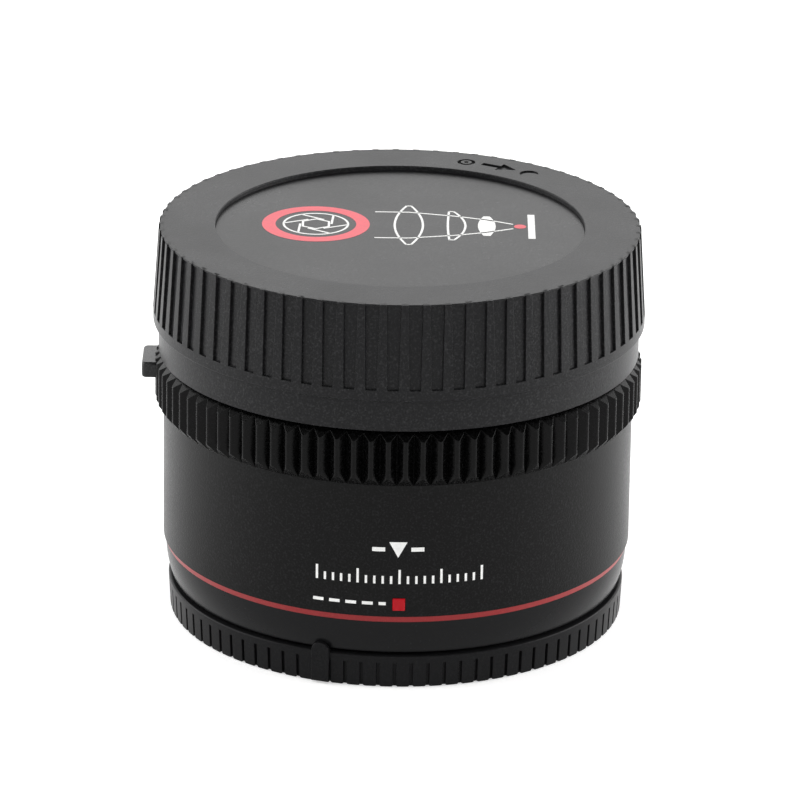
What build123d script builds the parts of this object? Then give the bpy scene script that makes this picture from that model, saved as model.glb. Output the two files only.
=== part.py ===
from build123d import *
import os
from math import asin, cos, degrees, pi, radians, sin, sqrt

# A camera teleconverter that stands on its camera-side cap, with its lens-side cap on top.
# Millimetres. The origin is on the optical axis at the bottom cap's resting face, and +Z runs
# along the optical axis to the lens side. -Y is the side with the index mark, -X the side with
# the release tab. Azimuths are in degrees from +X, anticlockwise seen from above.
# Heights named TOP, FOOT or FACE are places on the Z axis, worked out from the sizes above them.

INDEX_SIDE = -90
TAB_SIDE = 180
CONTACT_SIDE = 90
FULL_TURN = 360

# Clearances and the soft edge that several pieces share
OVERRUN = 1.0
SOFT_EDGE = 0.18
SEAT_GAP = 0.05
THREAD_GAP = 0.03
RUNNING_GAP = 0.06
ASSEMBLY_GAP = 0.25
CAP_CLEARANCE = 0.3

# Bayonet, the same on both sides: male lugs pass between female claws and turn behind them
BAYONET_RADIUS = 27.3
BAYONET_WALL = 1.1
BAYONET_COUNT = 4
LUG_REACH = 1.5
LUG_SPREAD = 38
LUG_THICKNESS = 1.4
CLAW_GAP = 0.3
CLAW_SPREAD = 40
MOUNT_REACH = 3.7
MOUNT_PLATE = 1.6
MOUNT_SCREW_INSET = 1.8
MOUNT_SCREW_FIRST = 45
SHIM_THICKNESS = 0.15

# Bottom cap
REAR_CAP_PROUD = 0.5
REAR_CAP_DRAFT = 0.25
REAR_CAP_FLOOR = 1.2
REAR_CAP_WALL = 1.5
REAR_CAP_CLAW_WALL = 1.2
REAR_CAP_LIP = 1.1
REAR_GROOVE_COUNT = 88
REAR_GROOVE_WIDTH = 0.34
REAR_GROOVE_DEPTH = 0.4
REAR_GROOVE_START = 0.25
NUB_AZIMUTH = INDEX_SIDE - 18.3
NUB_WIDTH = 2.6
NUB_RISE = 1.4
NUB_THICKNESS = 0.6

# Rear mount and collar
CAP_LINE = 0.5
REAR_PLATE_MARGIN = 1.9
SEAL_WIDTH = 0.4
SEAL_PROUD = 0.2
COLLAR_HEIGHT = 4.86
COLLAR_TAPER = 0.85
COLLAR_STRAIGHT = 1.2
COLLAR_EDGE = 0.15
ACCENT_HEIGHT = 0.9
ACCENT_BEVEL = 0.35
ACCENT_WALL = 1.5

# Barrel and grip ring
BARREL_WALL = 1.7
BARREL_HEIGHT = 19.54
BARREL_FLOOR = 1.4
BARREL_FLOOR_WIDTH = 3.0
BARREL_EDGE = 0.12
NECK_WALL = 0.8
INDEX_WIDTH = 1.75
INDEX_HEIGHT = 1.8
INDEX_RISE = 0.18
INDEX_AZIMUTH = INDEX_SIDE + 0.9
INDEX_UP = 0.95
GRIP_HEIGHT = 8.0
GRIP_PROUD = 0.55
GRIP_TOOTH = 0.65
GRIP_COUNT = 90
GRIP_CREST_SHARE = 0.22
GRIP_BASE = 0.55
GRIP_CHAMFER = 0.75
GRIP_LIP = 1.3

# Top cap
CAP_HEADROOM = 1.05
CAP_SEAT_GAP = 0.1
CAP_SKIRT_PROUD = 0.15
CAP_SKIRT_HEIGHT = 4.35
CAP_BEVEL_HEIGHT = 0.35
CAP_BAND_PROUD = 0.76
CAP_BAND_HEIGHT = 1.5
CAP_TAPER = 0.81
CAP_EDGE = 0.45
CAP_WALL = 2.0
CAP_ROOF = 1.5
RIB_COUNT = 72
RIB_WIDTH_TOP = 0.95
RIB_WIDTH_FOOT = 1.52
RIB_DEPTH = 0.5
RIB_FIRST = INDEX_SIDE + 1.4
CAP_RIM_WIDTH = 7.95
RECESS_DEPTH = 0.65
RECESS_EDGE = 0.35
INSERT_THICKNESS = 0.3
CAP_TUBE_WALL = 2.1
MARK_INSET = 3.8
MARK_LINE = 0.5
MARK_DEPTH = 0.3
MARK_RING_RADIUS = 1.3
MARK_DOT_RADIUS = 0.35
MARK_ARROW_LENGTH = 5.6
MARK_ARROW_WIDTH = 1.0
MARK_HEAD_LENGTH = 2.8
MARK_HEAD_WIDTH = 3.0
MARK_CRESCENT_RADIUS = 1.35
MARK_CRESCENT_SHIFT = 0.75
MARK_RING_TURN = 18.5
MARK_ARROW_TURN = 28.5
MARK_CRESCENT_TURN = 38.3

# Front mount
FRONT_PLATE_MARGIN = 2.1
CLAW_THICKNESS = 1.25
POCKET_GAP = 0.2
LEAF_THICKNESS = 0.2
LEAF_RISE = 1.2
LEAF_SPREAD = 30

# Chassis
SLEEVE_STEP = 0.7
SLEEVE_WALL = 2.2
CHASSIS_REAR_MARGIN = 1.5
CHASSIS_REAR_FLANGE = 4.0
CHASSIS_REAR_WEB = 1.25
CHASSIS_WEB_LIP = 1.2
CHASSIS_FRONT_FLANGE = 3.5
CHASSIS_LEDGE = 2.6
CHASSIS_SCREW_FIRST = 90
CHASSIS_SCREW_COUNT = 3

# Optics: walls and the glass surfaces from the lens side to the camera side. Surface shares are
# the vertex's depth and how far the surface has dropped at the glass edge, both as a share of
# the glass stack, and the drop is positive where the surface bulges up.
TUBE_WALL = 1.85
TUBE_PROTRUSION = 14.9
TUBE_EDGE = 0.4
TUBE_STANDOFF = 0.12
GLASS_RECESS = 2.4
GLASS_GAP = 0.05
CEMENT_GAP = 0.02
SHOULDER_WIDTH = 1.15
TUBE_FLANGE = 1.6
TUBE_FLANGE_DEPTH = 8.7
FRONT_SURFACE_SHARES = [(0, 0.06643), (0.04387, 0.10891), (0.233, -0.04931),
                        (0.27199, 0.04371), (0.41335, -0.06643), (0.45235, 0.09027),
                        (0.59761, -0.03264)]
REAR_SURFACE_SHARES = [(0.67365, -0.07314), (0.70972, 0.10947), (0.9047, -0.06366),
                       (0.93589, -0.07779), (0.97489, 0.02511)]
RETAINER_WIDTH = 1.6
RETAINER_HEIGHT = 1.5
RETAINER_SLOT = 0.8
SPACER_WIDTH = 1.3
REAR_SPACER_WIDTH = 1.1
TUBE_SCREW_INSET = 1.4
TUBE_SCREW_FIRST = 30

# Contacts
CONTACT_COUNT = 11
CONTACT_PITCH = 5.4
CONTACT_MARGIN = 9
PIN_INSET = 3.9
CONTACT_PIN_RADIUS = 0.45
CONTACT_PIN_RISE = 0.6
CONTACT_PIN_TRAVEL = 0.5
CONTACT_PIN_LENGTH = 4.3
FRONT_BLOCK_WIDTH = 2.6
FRONT_BLOCK_HEIGHT = 4.6
BLOCK_CLEARANCE = 0.8
BLOCK_EAR_SPREAD = 9
BLOCK_EAR_HEIGHT = 1.6
REAR_BLOCK_WIDTH = 3.2
REAR_BLOCK_HEIGHT = 1.45
PAD_WIDTH = 1.1
PAD_LENGTH = 1.9
PAD_PROUD = 0.08
PAD_THICKNESS = 0.3

# Rear baffle
BAFFLE_THICKNESS = 0.8
BAFFLE_WALL = 0.9
BAFFLE_RISE = 1.7
WINDOW_MARGIN = 3.03
WINDOW_SHAPE_SHARE = 0.676
WINDOW_CORNER = 2.5
BAFFLE_BOSS_RADIUS = 1.25
BAFFLE_BOSS_INSET = 1.85

# Board and flat cables
BOARD_THICKNESS = 1.0
BOARD_SPACE = 3.8
BOARD_CLEARANCE = 0.4
BOARD_SPREAD = 300
BOARD_DROP = 1.6
BOARD_BOSS_RADIUS = 1.3
CHIP_HEIGHT = 0.9
CHIP_WIDTH = 2.2
CHIP_LENGTH_SHARES = [3.2, 1.6, 1.2, 2.4, 1.2, 1.0, 1.4]
CHIP_AZIMUTHS = [60, 35, 12, -20, 130, 160, 205]
FLEX_THICKNESS = 0.15
FLEX_SPREAD = 14
FLEX_SLOT_GAP = 0.35
FLEX_STANDOFF = 0.55
FLEX_INSET = 0.35

# Lens release: the tab turns about the optical axis and a wedge under its arm pushes the pin down
TAB_WIDTH = 7.5
TAB_THICKNESS = 2.3
TAB_PROUD = 1.8
TAB_CORNER = 0.7
TAB_DROP = 1.5
TAB_TRAVEL = 10
SLOT_GAP = 0.25
ARM_THICKNESS = 1.1
ARM_CLEARANCE = 0.3
ARM_STRIP = 0.9
ARM_SPACE = 0.2
ARM_TAIL = 23
ARM_HEAD = 31
ARM_DROP = 2.4
GUIDE_TURN = 18
GUIDE_RADIUS = 0.6
LOCK_TURN = 16
LOCK_STANDOFF = 0.2
LOCK_RADIUS = 0.9
LOCK_PROUD = 0.8
LOCK_TRAVEL = 1.6
LOCK_TAIL_RADIUS = 0.5
LOCK_TAIL_LENGTH = 4.9
LOCK_BODY_LENGTH = 6.3
CROSS_RADIUS = 0.45
CROSS_REACH = 1.9
WEDGE_WIDTH = 0.8
LEVER_POCKET_MARGIN = 4
WEDGE_POCKET_MARGIN = 3.5
SPRING_WIRE = 0.25
SPRING_TURNS = 5
SPRING_GAP = 0.12
BRACKET_THICKNESS = 1.0
BRACKET_SPREAD = 15
BRACKET_BACK = 0.6
BRACKET_BACK_HEIGHT = 3.6
BRACKET_SCREW_TURN = 4.6

# Screws: head radius, head height, shank radius, length, drive slot width
MOUNT_SCREW = (1.45, 0.9, 0.8, 4.0, 0.36)
CHASSIS_SCREW = (1.3, 0.8, 0.7, 5.0, 0.32)
TUBE_SCREW = (1.2, 0.7, 0.65, 3.6, 0.3)
SMALL_SCREW = (0.95, 0.5, 0.5, 2.4, 0.24)
TINY_SCREW = (0.8, 0.4, 0.4, 1.9, 0.2)
GUIDE_SCREW = (1.1, 0.4, 0.4, 2.7, 0.25)
DRIVE_DEPTH_SHARE = 0.55
DRIVE_LENGTH_SHARE = 1.3

# Radii of the mount and of what fits round it, from the bayonet outwards
BAYONET_TUBE_RADIUS = BAYONET_RADIUS - LUG_REACH
CLAW_INNER = BAYONET_TUBE_RADIUS + CLAW_GAP
POCKET_RADIUS = BAYONET_RADIUS + POCKET_GAP
MOUNT_SCREW_CIRCLE = POCKET_RADIUS + MOUNT_SCREW_INSET
REAR_PLATE_RADIUS = MOUNT_SCREW_CIRCLE + REAR_PLATE_MARGIN
FRONT_PLATE_RADIUS = MOUNT_SCREW_CIRCLE + FRONT_PLATE_MARGIN
CHASSIS_REAR_RADIUS = MOUNT_SCREW_CIRCLE + CHASSIS_REAR_MARGIN
SLEEVE_RADIUS = POCKET_RADIUS + SLEEVE_STEP
ARM_INNER = SLEEVE_RADIUS + ARM_CLEARANCE
LOCK_CIRCLE = SLEEVE_RADIUS + LOCK_STANDOFF + LOCK_RADIUS
ARM_OUTER = LOCK_CIRCLE + LOCK_RADIUS + SLOT_GAP + ARM_STRIP
GUIDE_CIRCLE = (ARM_INNER + ARM_OUTER) / 2
CHASSIS_FRONT_RADIUS = ARM_OUTER + ARM_SPACE
BARREL_INNER = CHASSIS_FRONT_RADIUS + SEAT_GAP
BARREL_RADIUS = BARREL_INNER + BARREL_WALL
COLLAR_RADIUS = BARREL_RADIUS - ACCENT_BEVEL
COLLAR_FOOT_RADIUS = COLLAR_RADIUS - COLLAR_TAPER
REAR_CAP_RADIUS = COLLAR_FOOT_RADIUS + REAR_CAP_PROUD
REAR_CAP_FOOT_RADIUS = REAR_CAP_RADIUS - REAR_CAP_DRAFT
GRIP_ROOT_RADIUS = BARREL_RADIUS + GRIP_PROUD
GRIP_RADIUS = GRIP_ROOT_RADIUS + GRIP_TOOTH
TAB_RADIUS = GRIP_RADIUS + TAB_PROUD
CAP_SKIRT_RADIUS = GRIP_ROOT_RADIUS + CAP_SKIRT_PROUD
CAP_BAND_RADIUS = CAP_SKIRT_RADIUS + CAP_BAND_PROUD
CAP_TOP_RADIUS = CAP_BAND_RADIUS - CAP_TAPER
RECESS_RADIUS = CAP_TOP_RADIUS - CAP_RIM_WIDTH
MARK_CIRCLE = RECESS_RADIUS + MARK_INSET

# Radii of what fits inside the mount, from the bayonet inwards
CAP_TUBE_INNER = BAYONET_TUBE_RADIUS - CAP_TUBE_WALL
BAFFLE_RADIUS = BAYONET_TUBE_RADIUS - BAYONET_WALL - ASSEMBLY_GAP
BAFFLE_BOSS_CIRCLE = BAFFLE_RADIUS - BAFFLE_BOSS_INSET
REAR_BLOCK_RADIUS = BAFFLE_RADIUS - ASSEMBLY_GAP
PIN_CIRCLE = BAYONET_TUBE_RADIUS - PIN_INSET
FRONT_TUBE_RADIUS = PIN_CIRCLE - FRONT_BLOCK_WIDTH / 2 - BLOCK_CLEARANCE
FRONT_BORE = FRONT_TUBE_RADIUS - TUBE_WALL
FRONT_GLASS_RADIUS = FRONT_BORE - GLASS_GAP
TUBE_SHOULDER = FRONT_BORE - SHOULDER_WIDTH
SLEEVE_INNER = SLEEVE_RADIUS - SLEEVE_WALL
TUBE_FLANGE_RADIUS = SLEEVE_INNER - ASSEMBLY_GAP
TUBE_SCREW_CIRCLE = TUBE_FLANGE_RADIUS - TUBE_SCREW_INSET
REAR_TUBE_RADIUS = SLEEVE_INNER - BOARD_SPACE
REAR_BORE = REAR_TUBE_RADIUS - TUBE_WALL
REAR_GLASS_RADIUS = REAR_BORE - GLASS_GAP
CHASSIS_REAR_BORE = REAR_TUBE_RADIUS - CHASSIS_WEB_LIP
BOARD_INNER = REAR_TUBE_RADIUS + BOARD_CLEARANCE
BOARD_OUTER = SLEEVE_INNER - BOARD_CLEARANCE
BOARD_SCREW_CIRCLE = (BOARD_INNER + BOARD_OUTER) / 2
FRONT_FLEX_RADIUS = PIN_CIRCLE + FRONT_BLOCK_WIDTH / 2 + FLEX_STANDOFF
REAR_FLEX_RADIUS = BOARD_INNER + FLEX_INSET

# Stack of heights, from the resting face up
REAR_LUG_FOOT = REAR_CAP_FLOOR + CAP_CLEARANCE
REAR_FACE = REAR_LUG_FOOT + MOUNT_REACH
REAR_CAP_HEIGHT = REAR_FACE - CAP_LINE
REAR_PLATE_TOP = REAR_FACE + MOUNT_PLATE
CHASSIS_FOOT = REAR_PLATE_TOP + SHIM_THICKNESS
WEB_TOP = CHASSIS_FOOT + CHASSIS_REAR_WEB
CHASSIS_REAR_TOP = CHASSIS_FOOT + CHASSIS_REAR_FLANGE
COLLAR_TOP = REAR_FACE + COLLAR_HEIGHT
BARREL_FOOT = COLLAR_TOP + ACCENT_HEIGHT
BARREL_TOP = BARREL_FOOT + BARREL_HEIGHT
FRONT_FACE = BARREL_TOP + GRIP_HEIGHT
FRONT_PLATE_FOOT = FRONT_FACE - MOUNT_PLATE
CHASSIS_TOP = FRONT_PLATE_FOOT - SHIM_THICKNESS
CHASSIS_FRONT_FOOT = CHASSIS_TOP - CHASSIS_FRONT_FLANGE
NECK_TOP = CHASSIS_FRONT_FOOT - SEAT_GAP
POCKET_FLOOR = FRONT_FACE - MOUNT_REACH - LEAF_RISE - LEAF_THICKNESS
TUBE_TOP = FRONT_FACE + TUBE_PROTRUSION
TUBE_FLANGE_TOP = FRONT_FACE - TUBE_FLANGE_DEPTH
TUBE_FLANGE_FOOT = TUBE_FLANGE_TOP - TUBE_FLANGE
LEDGE_FOOT = TUBE_FLANGE_FOOT - CHASSIS_LEDGE
BOARD_TOP = LEDGE_FOOT - BOARD_DROP
BOARD_FOOT = BOARD_TOP - BOARD_THICKNESS
CAP_FOOT = FRONT_FACE + CAP_SEAT_GAP
CAP_TUBE_FOOT = FRONT_FACE - MOUNT_REACH + CAP_CLEARANCE
CAP_CEILING = TUBE_TOP + CAP_HEADROOM
INSERT_FOOT = CAP_CEILING + CAP_ROOF
CAP_TOP = INSERT_FOOT + INSERT_THICKNESS + RECESS_DEPTH
ARM_TOP = FRONT_FACE - ARM_DROP
ARM_FOOT = ARM_TOP - ARM_THICKNESS
TAB_TOP = FRONT_FACE - TAB_DROP
TAB_FOOT = TAB_TOP - TAB_THICKNESS
LEVER_FLOOR = ARM_FOOT - RUNNING_GAP
LOCK_TOP = FRONT_FACE + LOCK_PROUD
LOCK_SHOULDER = LOCK_TOP - LOCK_BODY_LENGTH
LOCK_FOOT = LOCK_SHOULDER - LOCK_TAIL_LENGTH
BRACKET_FOOT = LOCK_FOOT + CAP_CLEARANCE
BRACKET_TOP = BRACKET_FOOT + BRACKET_THICKNESS
CROSS_HEIGHT = ARM_FOOT - RUNNING_GAP - CROSS_RADIUS

# Glass stack between the front vertex and the last element's seat on its threaded ring
REAR_RETAINER_FOOT = WEB_TOP + TUBE_STANDOFF
REAR_RETAINER_TOP = REAR_RETAINER_FOOT + RETAINER_HEIGHT
TUBE_FOOT = REAR_RETAINER_FOOT + GLASS_GAP
GLASS_TOP = TUBE_TOP - GLASS_RECESS
GLASS_STACK = GLASS_TOP - REAR_RETAINER_TOP - GLASS_GAP

# Places that follow from the angles above
LOCK_AZIMUTH = TAB_SIDE + LOCK_TURN
CONTACT_SPREAD = CONTACT_PITCH * (CONTACT_COUNT - 1)

LOW = (Align.CENTER, Align.CENTER, Align.MIN)
HIGH = (Align.CENTER, Align.CENTER, Align.MAX)


def turned(points, rounds=(), start=0, spread=FULL_TURN):
    """Turn a half-section of (radius, height) points; rounds holds (point, radius) corners."""
    face = make_face(Polyline(*points, close=True))
    for point, radius in rounds:
        corner = face.vertices().sort_by_distance((point[0], point[1], 0))[0]
        face = fillet(corner, radius)
    return Rot(0, 0, start) * revolve(Plane.XZ * face, Axis.Z, spread)


def ring(outer, inner, foot, top):
    """Plain ring, or a disc where inner is zero."""
    return turned([(inner, foot), (outer, foot), (outer, top), (inner, top)])


def sector(outer, inner, foot, top, middle, spread):
    """Part of a ring, spread degrees wide about the azimuth middle."""
    points = [(inner, foot), (outer, foot), (outer, top), (inner, top)]
    return turned(points, start=middle - spread / 2, spread=spread)


def rod(radius, foot, top):
    """Upright cylinder between two heights."""
    return Pos(0, 0, foot) * Cylinder(radius, top - foot, align=LOW)


def around(count, circle, first=0, height=0):
    """Places evenly spaced on a circle about the optical axis."""
    return [Rot(0, 0, first + FULL_TURN * i / count) * Pos(circle, 0, height)
            for i in range(count)]


def place(azimuth, circle, height=0):
    """One place at an azimuth, a distance from the optical axis and a height."""
    return Rot(0, 0, azimuth) * Pos(circle, 0, height)


def angle_at(width, radius):
    """Degrees that a width takes up at a radius."""
    return degrees(width / radius)


def screw(sizes):
    """Cross-drive screw with its head's top face at the origin and its shank pointing down."""
    head_radius, head_height, shank_radius, length, slot = sizes
    body = Cylinder(head_radius, head_height, align=HIGH)
    body += Pos(0, 0, -head_height) * Cylinder(shank_radius, length - head_height, align=HIGH)
    reach = head_radius * DRIVE_LENGTH_SHARE
    depth = head_height * DRIVE_DEPTH_SHARE
    drive = Box(reach, slot, depth, align=HIGH) + Box(slot, reach, depth, align=HIGH)
    return body - drive


def screw_hole(sizes):
    """What a screw of these sizes takes out of the pieces it holds, open above its head."""
    head_radius, head_height, shank_radius, length, _ = sizes
    head = Pos(0, 0, -head_height - SEAT_GAP) * Cylinder(
        head_radius + SEAT_GAP, head_height + SEAT_GAP + OVERRUN, align=LOW)
    shank = Cylinder(shank_radius + THREAD_GAP, length + SEAT_GAP, align=HIGH)
    return head + shank


def group(shapes):
    """Several separate solids kept as one node."""
    return Compound(children=[solid for shape in shapes for solid in shape.solids()])


def toothed(count, tip, root, crest_share, foot, top):
    """Prism with straight flutes: a narrow crest on each tooth and a sharp root between."""
    points = []
    pitch = FULL_TURN / count
    for i in range(count):
        middle = pitch * i
        for shift, radius in ((-crest_share / 2, tip), (crest_share / 2, tip), (1 / 2, root)):
            angle = radians(middle + shift * pitch)
            points.append((radius * cos(angle), radius * sin(angle)))
    face = make_face(Polyline(*points, close=True))
    return Pos(0, 0, foot) * extrude(face, top - foot)


# Optics

def sag(curve, radius):
    """How far a spherical surface has dropped from its vertex at a radius."""
    drop = abs(curve) - sqrt(curve * curve - radius * radius)
    return drop if curve > 0 else -drop


def surfaces(shares, edge):
    """Vertex height and signed radius of curvature of each glass surface."""
    drops = [(depth * GLASS_STACK, drop * GLASS_STACK) for depth, drop in shares]
    return [(GLASS_TOP - depth, (edge * edge + drop * drop) / (2 * drop))
            for depth, drop in drops]


def surface_height(surface, radius):
    """Height of a glass surface at a radius."""
    vertex, curve = surface
    return vertex - sag(curve, radius)


FRONT_SURFACES = surfaces(FRONT_SURFACE_SHARES, FRONT_GLASS_RADIUS)
REAR_SURFACES = surfaces(REAR_SURFACE_SHARES, REAR_GLASS_RADIUS)
SHOULDER_TOP = surface_height(FRONT_SURFACES[-1], TUBE_SHOULDER) - GLASS_GAP
SHOULDER_FOOT = surface_height(REAR_SURFACES[0], REAR_GLASS_RADIUS) + GLASS_GAP


def element(upper, lower, edge):
    """One lens element, turned from the arcs of its two surfaces; lower sits a cement film up."""
    lower = (lower[0] + CEMENT_GAP, lower[1])
    corners = []
    arcs = []
    for surface in (upper, lower):
        heights = [surface_height(surface, radius) for radius in (0, edge / 2, edge)]
        arcs.append(ThreePointArc((0, heights[0]), (edge / 2, heights[1]), (edge, heights[2])))
        corners.append(heights[2])
    axis_line = Line((0, lower[0]), (0, upper[0]))
    edge_line = Line((edge, corners[1]), (edge, corners[0]))
    face = make_face([axis_line, arcs[0], edge_line, arcs[1]])
    return revolve(Plane.XZ * face, Axis.Z)


def elements():
    """All lens elements, numbered from the lens side."""
    front = FRONT_SURFACES
    rear = REAR_SURFACES
    return {
        "element_1": element(front[0], front[1], FRONT_GLASS_RADIUS),
        "element_2": element(front[1], front[2], FRONT_GLASS_RADIUS),
        "element_3": element(front[3], front[4], FRONT_GLASS_RADIUS),
        "element_4": element(front[4], front[5], FRONT_GLASS_RADIUS),
        "element_5": element(front[5], front[6], FRONT_GLASS_RADIUS),
        "element_6": element(rear[0], rear[1], REAR_GLASS_RADIUS),
        "element_7": element(rear[1], rear[2], REAR_GLASS_RADIUS),
        "element_8": element(rear[3], rear[4], REAR_GLASS_RADIUS),
    }


def lens_tube():
    """Tube with a front bore, a shoulder between the two groups, a rear bore and a flange."""
    points = [(REAR_BORE, TUBE_FOOT), (REAR_TUBE_RADIUS, TUBE_FOOT),
              (REAR_TUBE_RADIUS, TUBE_FLANGE_FOOT), (TUBE_FLANGE_RADIUS, TUBE_FLANGE_FOOT),
              (TUBE_FLANGE_RADIUS, TUBE_FLANGE_TOP), (FRONT_TUBE_RADIUS, TUBE_FLANGE_TOP),
              (FRONT_TUBE_RADIUS, TUBE_TOP), (FRONT_BORE, TUBE_TOP), (FRONT_BORE, SHOULDER_TOP),
              (TUBE_SHOULDER, SHOULDER_TOP), (TUBE_SHOULDER, SHOULDER_FOOT),
              (REAR_BORE, SHOULDER_FOOT)]
    body = turned(points, [((FRONT_TUBE_RADIUS, TUBE_TOP), TUBE_EDGE)])
    holes = [where * screw_hole(TUBE_SCREW) for where in tube_screw_places()]
    ear_holes = [where * screw_hole(SMALL_SCREW) for where in front_block_screw_places()]
    return body - holes - ear_holes - flex_slot(FRONT_FLEX_RADIUS, TUBE_FLANGE_FOOT, TUBE_FLANGE_TOP)


def tube_screw_places():
    """Three places on the tube's flange."""
    height = TUBE_FLANGE_TOP + TUBE_SCREW[1] / 2
    return around(CHASSIS_SCREW_COUNT, TUBE_SCREW_CIRCLE, TUBE_SCREW_FIRST, height)


def front_retainer():
    """Threaded ring over the first element, with two spanner slots."""
    inner = FRONT_BORE - RETAINER_WIDTH
    foot = surface_height(FRONT_SURFACES[0], inner) + GLASS_GAP
    return spanner_ring(FRONT_BORE - THREAD_GAP, inner, foot, foot + RETAINER_HEIGHT,
                        foot + RETAINER_HEIGHT)


def rear_retainer():
    """Threaded ring under the last element, with two spanner slots."""
    return spanner_ring(REAR_BORE - THREAD_GAP, REAR_BORE - RETAINER_WIDTH, REAR_RETAINER_FOOT,
                        REAR_RETAINER_TOP, REAR_RETAINER_FOOT)


def spanner_ring(outer, inner, foot, top, slot_face):
    """Ring with two narrow slots across the face at the height slot_face."""
    slot = Box(2 * (outer + OVERRUN), RETAINER_SLOT, RETAINER_SLOT)
    return ring(outer, inner, foot, top) - Pos(0, 0, slot_face) * slot


def front_spacer():
    """Tube between the first doublet and the triplet, seated on the two glass surfaces."""
    outer = FRONT_BORE - GLASS_GAP
    inner = outer - SPACER_WIDTH
    foot = surface_height(FRONT_SURFACES[3], inner) + GLASS_GAP
    top = surface_height(FRONT_SURFACES[2], inner) - GLASS_GAP
    return ring(outer, inner, foot, top)


def rear_spacer():
    """Thin ring between the second doublet and the last element."""
    outer = REAR_GLASS_RADIUS
    inner = outer - REAR_SPACER_WIDTH
    foot = surface_height(REAR_SURFACES[3], outer) + GLASS_GAP
    top = surface_height(REAR_SURFACES[2], inner) - GLASS_GAP
    return ring(outer, inner, foot, top)


# Bottom cap

def rear_cap():
    """Thin cap: floor, grooved outer wall with a smooth lip, claw wall, claws and index nub."""
    wall_inner = REAR_CAP_FOOT_RADIUS - REAR_CAP_WALL
    body = turned(
        [(0, 0), (REAR_CAP_FOOT_RADIUS, 0), (REAR_CAP_RADIUS, REAR_CAP_HEIGHT),
         (wall_inner, REAR_CAP_HEIGHT), (wall_inner, REAR_CAP_FLOOR), (0, REAR_CAP_FLOOR)],
        [((REAR_CAP_FOOT_RADIUS, 0), SOFT_EDGE),
         ((REAR_CAP_RADIUS, REAR_CAP_HEIGHT), SOFT_EDGE)])
    claw_wall = BAYONET_RADIUS + CAP_CLEARANCE
    claw_top = REAR_CAP_HEIGHT - SEAT_GAP
    body += ring(claw_wall + REAR_CAP_CLAW_WALL, claw_wall, REAR_CAP_FLOOR, claw_top)
    claw_foot = REAR_LUG_FOOT + LUG_THICKNESS + CAP_CLEARANCE
    for i in range(BAYONET_COUNT):
        middle = FULL_TURN / BAYONET_COUNT * (i + 1 / 2)
        body += sector(claw_wall + REAR_CAP_CLAW_WALL / 2, CLAW_INNER, claw_foot, claw_top,
                       middle, CLAW_SPREAD)
    groove_top = REAR_CAP_HEIGHT - REAR_CAP_LIP
    groove = Box(REAR_GROOVE_DEPTH + OVERRUN, REAR_GROOVE_WIDTH, groove_top - REAR_GROOVE_START,
                 align=(Align.MIN, Align.CENTER, Align.MIN))
    reach = REAR_CAP_FOOT_RADIUS - REAR_GROOVE_DEPTH
    first = NUB_AZIMUTH + FULL_TURN / REAR_GROOVE_COUNT / 2
    body -= [where * groove for where in around(REAR_GROOVE_COUNT, reach, first,
                                                REAR_GROOVE_START)]
    return body + cap_nub()


def cap_nub():
    """Index nub: a tongue with a round top that stands up in front of the collar."""
    inner = COLLAR_FOOT_RADIUS + CAP_CLEARANCE
    outer = inner + NUB_THICKNESS
    root = REAR_CAP_HEIGHT - REAR_CAP_LIP
    rise = NUB_RISE + REAR_CAP_LIP
    half = NUB_WIDTH / 2
    outline = Polyline((-half, 0), (half, 0), (half, rise - half)) \
        + ThreePointArc((half, rise - half), (0, rise), (-half, rise - half)) \
        + Line((-half, rise - half), (-half, 0))
    slab = extrude(make_face(outline), outer + OVERRUN)
    slab = place(NUB_AZIMUTH, 0, root) * Plane.YZ.location * slab
    return slab & ring(outer, inner, root, root + rise + OVERRUN)


# Rear mount, collar and barrel

def rear_bayonet():
    """Male mount: flange plate, short tube and four lugs at its end."""
    inner = BAYONET_TUBE_RADIUS - BAYONET_WALL
    body = turned([(inner, REAR_LUG_FOOT), (BAYONET_TUBE_RADIUS, REAR_LUG_FOOT),
                   (BAYONET_TUBE_RADIUS, REAR_FACE), (REAR_PLATE_RADIUS, REAR_FACE),
                   (REAR_PLATE_RADIUS, REAR_PLATE_TOP), (inner, REAR_PLATE_TOP)],
                  [((REAR_PLATE_RADIUS, REAR_FACE), SOFT_EDGE)])
    for i in range(BAYONET_COUNT):
        body += sector(BAYONET_RADIUS, BAYONET_TUBE_RADIUS - BAYONET_WALL / 2, REAR_LUG_FOOT,
                       REAR_LUG_FOOT + LUG_THICKNESS, FULL_TURN / BAYONET_COUNT * i, LUG_SPREAD)
    return body - [where * screw_hole(MOUNT_SCREW) for where in rear_screw_places()]


def rear_screw_places():
    """Four places on the rear plate, heads down and flush."""
    return [where * Rot(180, 0, 0) for where in
            around(BAYONET_COUNT, MOUNT_SCREW_CIRCLE, MOUNT_SCREW_FIRST, REAR_FACE + SEAT_GAP)]


def rear_shim():
    """Thin shim between the rear plate and the chassis."""
    body = ring(CHASSIS_REAR_RADIUS, POCKET_RADIUS, REAR_PLATE_TOP, CHASSIS_FOOT)
    return body - [where * screw_hole(MOUNT_SCREW) for where in rear_screw_places()] \
        - [where * screw_hole(CHASSIS_SCREW) for where in chassis_screw_places()]


def mount_seal():
    """Rubber ring in the slot between the rear plate and the collar."""
    inner = REAR_PLATE_RADIUS + SEAT_GAP
    return ring(inner + SEAL_WIDTH, inner, REAR_FACE - SEAL_PROUD, REAR_PLATE_TOP - SEAT_GAP)


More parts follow.
